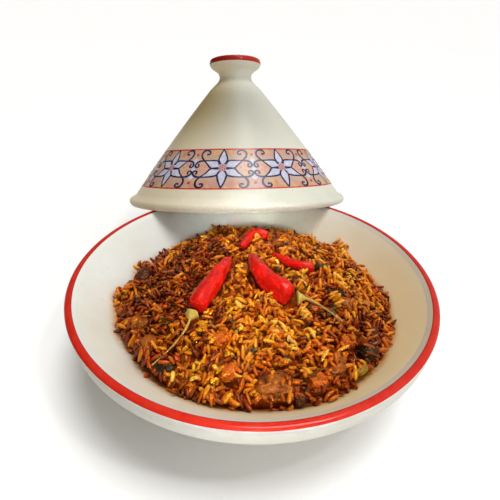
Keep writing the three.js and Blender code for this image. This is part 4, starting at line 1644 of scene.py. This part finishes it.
def settle(own, rng):
    """Lays grains and scraps one after another. Returns their rows by kind.

    A row is a place, angle, tilt, half length, radius and height over the heap.
    """
    surface = Surface(own.layer / MM)
    occupy_toppings(surface)
    names = list(LAID)
    shares = np.array([LAID[name]["share"] for name in names])
    kinds = rng.choice(len(names), own.grains, p=shares / shares.sum())
    length = own.grain_length / MM
    thickness = own.grain_thickness / MM
    rows = {name: [] for name in names}
    for number in kinds:
        shape = LAID[names[number]]
        half = length * shape["length"] * max(0.5, rng.normal(1, shape["spread"])) / 2
        radius = thickness * shape["thickness"] * max(0.6, rng.normal(1, 0.1)) / 2
        best = lowest_rest(surface, half, rng)
        if best is None or best[0] > CEILING:
            continue
        over, x, y, angle, height, slope = best
        surface.lay(x, y, angle, half * 0.97, radius, height, slope)
        sticks_up = rng.random() < UPRIGHT_SHARE
        upright = rng.choice([-1, 1]) * rng.uniform(0.4, 1.1) if sticks_up else 0
        tilt = slope + rng.normal(0, 0.18) + upright
        z = height + radius * 0.9 + 0.4 * half * abs(upright)
        rows[names[number]].append((x, y, z, angle, tilt, half, radius, over))
    return {kind: np.array(found) for kind, found in rows.items()}


def laid_mesh(rows, forms, rng):
    """All the rows' pieces as one list of points and triangles, with tags for each point."""
    points, faces, tones, spices = [], [], [], []
    start = 0
    stained = 0.3 + 0.3 * patchiness(rows[:, 0], rows[:, 1], 34.0, 41)
    spiced = np.clip(stained + rng.normal(0, 0.2, len(rows)), 0, 1)
    for row, spice in zip(rows, spiced):
        x, y, z, angle, tilt, half, radius, _ = row
        form, triangles = forms[rng.integers(len(forms))]
        roll = rng.uniform(0, 2 * np.pi)
        shaped = form * [half, radius, radius]
        turn = np.array(Euler((roll, -math.atan(tilt), angle)).to_matrix())
        points.append(shaped @ turn.T + [x, y, z])
        faces.append(triangles + start)
        fade = 0.14 * form[:, 0] * rng.choice([-1, 1])
        tones.append(np.clip(rng.uniform(0, 1) + fade, 0, 1))
        spices.append(np.full(len(form), spice))
        start += len(form)
    tags = {"tone": np.concatenate(tones), "spiced": np.concatenate(spices)}
    return np.concatenate(points), np.concatenate(faces), tags


def rice_finishes():
    """The six tones of oily rice, from soaked and dark to pale."""
    tones = {
        "maroon": (shade(130, 48, 4), shade(100, 30, 2), shade(114, 22, 2)),
        "umber": (shade(164, 78, 6), shade(134, 52, 3), shade(148, 42, 3)),
        "rust": (shade(200, 112, 12), shade(172, 84, 6), shade(182, 66, 5)),
        "amber": (shade(226, 146, 24), shade(204, 114, 12), shade(208, 94, 10)),
        "golden": (shade(240, 176, 44), shade(226, 146, 24), shade(226, 120, 20)),
        "straw": (shade(248, 204, 88), shade(238, 174, 50), shade(234, 150, 38)),
    }
    return {name: grain_finish(f"{name} rice", *colours) for name, colours in tones.items()}


def scrap_finishes():
    """Finishes and slots of what is mixed with the rice."""
    tones = {
        "shreds": (shade(140, 78, 30), shade(92, 46, 20), shade(104, 40, 14), "meat"),
        "leaves": (shade(72, 66, 20), shade(38, 36, 14), shade(60, 44, 14), "bean"),
        "onion": (shade(222, 166, 92), shade(184, 118, 48), shade(190, 100, 36), "rice"),
        "carrot_bits": (shade(228, 120, 24), shade(196, 82, 16), shade(204, 76, 14), "carrot"),
        "dark_bits": (shade(66, 30, 20), shade(38, 18, 14), shade(56, 20, 12), "aubergine"),
        "red_bits": (shade(196, 48, 18), shade(150, 28, 12), shade(160, 26, 10), "chilli_skin"),
    }
    return {
        kind: (grain_finish(kind.replace("_", " "), *colours), slot)
        for kind, (*colours, slot) in tones.items()
    }


def rice_tone(grains, rng):
    """The number of each grain's tone: paler where the heap is golden and where it is high, and
    darker where it is low, partly as soaked rice and partly as painted shade in the crevices
    between clumps.
    """
    x, y = grains[:, 0], grains[:, 1]
    over_heap = np.clip(grains[:, 7], -4, 1)
    # partly painted shade and light: grains sunk in the heap darker, grains on its clumps paler
    level = brightness(x, y) + 0.1 * over_heap + 0.06 * clumps(x, y)
    level = level + rng.normal(0, 0.085, len(grains)) + TONE_SHIFT
    return np.digitize(level, TONE_LIMITS)


def make_rice():
    """The core, the loose grains in their tones, and the scraps among them."""
    own = settings().rice
    rng = np.random.default_rng(own.seed)
    make_core(own.layer / MM)
    rows = settle(own, rng)
    grains = rows.pop("rice")
    tone_number = rice_tone(grains, rng)
    forms = [grain_form(rng, bend=rng.uniform(-0.16, 0.16), flat=rng.uniform(0.74, 0.95),
                        taper=rng.uniform(2.6, 4.6), curl=rng.uniform(-0.5, 0.5))
             for _ in range(18)]
    for number, (name, finish) in enumerate(rice_finishes().items()):
        points, faces, tags = laid_mesh(grains[tone_number == number], forms, rng)
        new_piece(f"rice_{name}", in_frame(points), [(faces, 0)], [finish], tags=tags)
    scrap_forms = {
        "shreds": [grain_form(rng, bend=rng.uniform(-0.3, 0.3), flat=0.6, taper=5.0, curl=1.0,
                              sides=5) for _ in range(6)],
        "leaves": [leaf_form(rng) for _ in range(6)],
        "onion": [grain_form(rng, bend=rng.uniform(0.25, 0.5), flat=0.35, taper=5.0,
                             length_steps=7, sides=6) for _ in range(5)],
        "carrot_bits": [chunk_form(rng) for _ in range(5)],
        "dark_bits": [chunk_form(rng) for _ in range(5)],
        "red_bits": [leaf_form(rng) for _ in range(4)],
    }
    for kind, (finish, slot) in scrap_finishes().items():
        points, faces, tags = laid_mesh(rows[kind], scrap_forms[kind], rng)
        new_piece(f"rice_{kind}", in_frame(points), [(faces, 0)], [finish], tags=tags)


# ---- the stage ----

# How the sky's brightness changes: along an axis, from a place to a place, from dim to bright.
SKY_RAMPS = [
    ("X", -0.8, 0.8, 0.14, 1.55),
    ("Y", 0.6, -0.8, 1.0, 1.15),
    ("Z", -0.05, 0.9, 0.24, 0.56),
]
SKY_LEFT = (1.0, 0.86, 0.6, 1.0)
SKY_RIGHT = (1.0, 1.0, 1.0, 1.0)
FLOOR_HALF = 30.0
FLOOR_DROP = 0.0002

# Narrow fills on the bowl's wall under the lid's edge: name, how far right they meet it and
# how high they stand, both in metres, and strength. They stand in front of the dish, as the
# fill over the rice does.
LID_FILLS = [
    ("left", -0.05, 0.37, 0.0034),
    ("middle", -0.008, 0.47, 0.0085),
    ("right", 0.03, 0.47, 0.0042),
]
FILLS_IN_FRONT = -0.9


def make_floor():
    """A wide pale floor. To the camera it is nearly white, to the light a little darker."""
    mesh = bpy.data.meshes.new("floor")
    half = FLOOR_HALF
    corners = [(-half, -half, 0), (half, -half, 0), (half, half, 0), (-half, half, 0)]
    mesh.from_pydata(corners, [], [(0, 1, 2, 3)])
    finish = Finish("pale floor", 0.9, shine=0.0)
    white = finish.mix(finish.speckle(3.0), shade(252, 252, 252), shade(254, 254, 253))
    seen = finish.node("ShaderNodeLightPath").outputs["Is Camera Ray"]
    finish.colour(finish.mix(seen, shade(220, 215, 208), white))
    mesh.materials.append(finish.material)
    floor = bpy.data.objects.new("floor", mesh)
    floor.location.z = -FLOOR_DROP
    bpy.context.scene.collection.objects.link(floor)


def make_sky():
    """Soft studio light, brighter overhead, to the right and a little to the front, dim near
    the floor and warmer at the left."""
    world = bpy.data.worlds.new("studio")
    bpy.context.scene.world = world
    world.use_nodes = True
    tree = world.node_tree
    place = add_node(tree, "ShaderNodeTexCoord").outputs["Generated"]
    split = add_node(tree, "ShaderNodeSeparateXYZ", {0: place})
    strength = 1.0
    for axis, *limits in SKY_RAMPS:
        values = {0: ramp(tree, split.outputs[axis], *limits), 1: strength}
        strength = add_node(tree, "ShaderNodeMath", values, operation="MULTIPLY").outputs[0]
    side = ramp(tree, split.outputs["X"], -0.8, 0.1)
    light = tree.nodes["Background"]
    put(tree, light.inputs["Color"], two_colours(tree, side, SKY_LEFT, SKY_RIGHT))
    put(tree, light.inputs["Strength"], strength)


def make_lamp(name, kind, place, strength, width, aim=(0.0, 0.0, 0.0), spread=180.0):
    """A lamp that looks from a place at its aim, both in metres from the dish's middle.

    width is a sun's angle in radians and another lamp's width in metres, and spread is in
    degrees.
    """
    light = bpy.data.lights.new(name, kind)
    light.energy = strength
    if kind == "SUN":
        light.angle = width
    else:
        light.shape = "DISK"
        light.size = width
        light.spread = math.radians(spread)
    lamp = bpy.data.objects.new(name, light)
    lamp.location = AXIS + Vector(place)
    lamp.rotation_euler = (Vector(aim) - Vector(place)).to_track_quat("-Z", "Y").to_euler()
    bpy.context.scene.collection.objects.link(lamp)


def make_camera(own):
    """The camera, a little over the dish and in front of it."""
    data = bpy.data.cameras.new("camera")
    data.lens = own.lens
    data.sensor_width = 36.0
    data.clip_start = 0.01
    data.clip_end = 100.0
    camera = bpy.data.objects.new("camera", data)
    place = Vector((AXIS.x + own.aside, AXIS.y - own.distance, own.height))
    tilt = Matrix.Rotation(math.radians(90) - own.pitch, 4, "X")
    roll = Matrix.Rotation(own.roll, 4, "Z")
    camera.matrix_world = Matrix.Translation(place) @ tilt @ roll
    bpy.context.scene.collection.objects.link(camera)
    bpy.context.scene.camera = camera


def make_stage():
    """Floor, light and camera."""
    make_floor()
    make_sky()
    make_lamp("soft key", "SUN", (0.17, 0.02, 1.0), 1.85, math.radians(27))
    make_lamp("front fill", "AREA", (0.7, -1.55, 0.24), 6.5, 0.8)
    make_lamp("fill over the rice", "AREA", (0.0, FILLS_IN_FRONT, 0.42), 0.018, 0.06,
              aim=(0.0, 0.0, 0.05), spread=10.0)
    for name, x, height, strength in LID_FILLS:
        make_lamp(f"{name} fill under the lid", "AREA", (0.6 * x, FILLS_IN_FRONT, height),
                  strength, 0.02, aim=(x, 0.122, 0.056), spread=4.5)
    make_lamp("glint", "AREA", (0.5, -0.35, 1.1), 1.7, 0.1)
    make_camera(settings().stage)
    bpy.context.scene.view_settings.view_transform = "Standard"


# ---- the add-on ----


class RICEDISH_OT_dish(bpy.types.Operator):
    """Build the glazed dish"""

    bl_idname = "rice_dish.dish"
    bl_label = "Dish"

    def execute(self, context):
        make_dish()
        return {"FINISHED"}


class RICEDISH_OT_lid(bpy.types.Operator):
    """Build the conical lid"""

    bl_idname = "rice_dish.lid"
    bl_label = "Lid"

    def execute(self, context):
        make_lid()
        return {"FINISHED"}


class RICEDISH_OT_lid_painting(bpy.types.Operator):
    """Paint the flowers and scrolls round the lid"""

    bl_idname = "rice_dish.lid_painting"
    bl_label = "Lid painting"

    def execute(self, context):
        make_lid_painting()
        return {"FINISHED"}


class RICEDISH_OT_rice(bpy.types.Operator):
    """Build the heap of rice and what is mixed in it"""

    bl_idname = "rice_dish.rice"
    bl_label = "Rice"

    def execute(self, context):
        make_rice()
        return {"FINISHED"}


class RICEDISH_OT_toppings(bpy.types.Operator):
    """Build the chillies, meat and vegetables"""

    bl_idname = "rice_dish.toppings"
    bl_label = "Toppings"

    def execute(self, context):
        make_toppings()
        return {"FINISHED"}


class RICEDISH_OT_stage(bpy.types.Operator):
    """Set up the floor, light and camera"""

    bl_idname = "rice_dish.stage"
    bl_label = "Stage"

    def execute(self, context):
        make_stage()
        return {"FINISHED"}


OPERATORS = [
    RICEDISH_OT_dish, RICEDISH_OT_lid, RICEDISH_OT_lid_painting, RICEDISH_OT_toppings,
    RICEDISH_OT_rice, RICEDISH_OT_stage,
]


class RICEDISH_PT_panel(bpy.types.Panel):
    """Lists the parts of the dish and their settings"""

    bl_label = "Rice dish"
    bl_idname = "RICEDISH_PT_panel"
    bl_space_type = "VIEW_3D"
    bl_region_type = "UI"
    bl_category = "Rice dish"

    def draw(self, context):
        for operator in OPERATORS:
            self.layout.operator(operator.bl_idname)
        for group in ("dish", "lid", "rice", "toppings", "stage"):
            box = self.layout.box()
            own = getattr(context.scene.rice_dish, group)
            for name in own.__annotations__:
                box.prop(own, name)


GROUPS = [
    DishSettings, LidSettings, RiceSettings, ToppingSettings, StageSettings, RiceDishSettings,
]


def register():
    """Makes the settings, operators and panel known to Blender."""
    for kind in (*GROUPS, *OPERATORS, RICEDISH_PT_panel):
        bpy.utils.register_class(kind)
    bpy.types.Scene.rice_dish = PointerProperty(type=RiceDishSettings)


def unregister():
    """Takes them away again."""
    del bpy.types.Scene.rice_dish
    for kind in reversed((*GROUPS, *OPERATORS, RICEDISH_PT_panel)):
        bpy.utils.unregister_class(kind)


def main():
    """Builds every piece."""
    register()
    for operator in OPERATORS:
        group, name = operator.bl_idname.split(".")
        getattr(getattr(bpy.ops, group), name)()


if __name__ == "__main__":
    main()
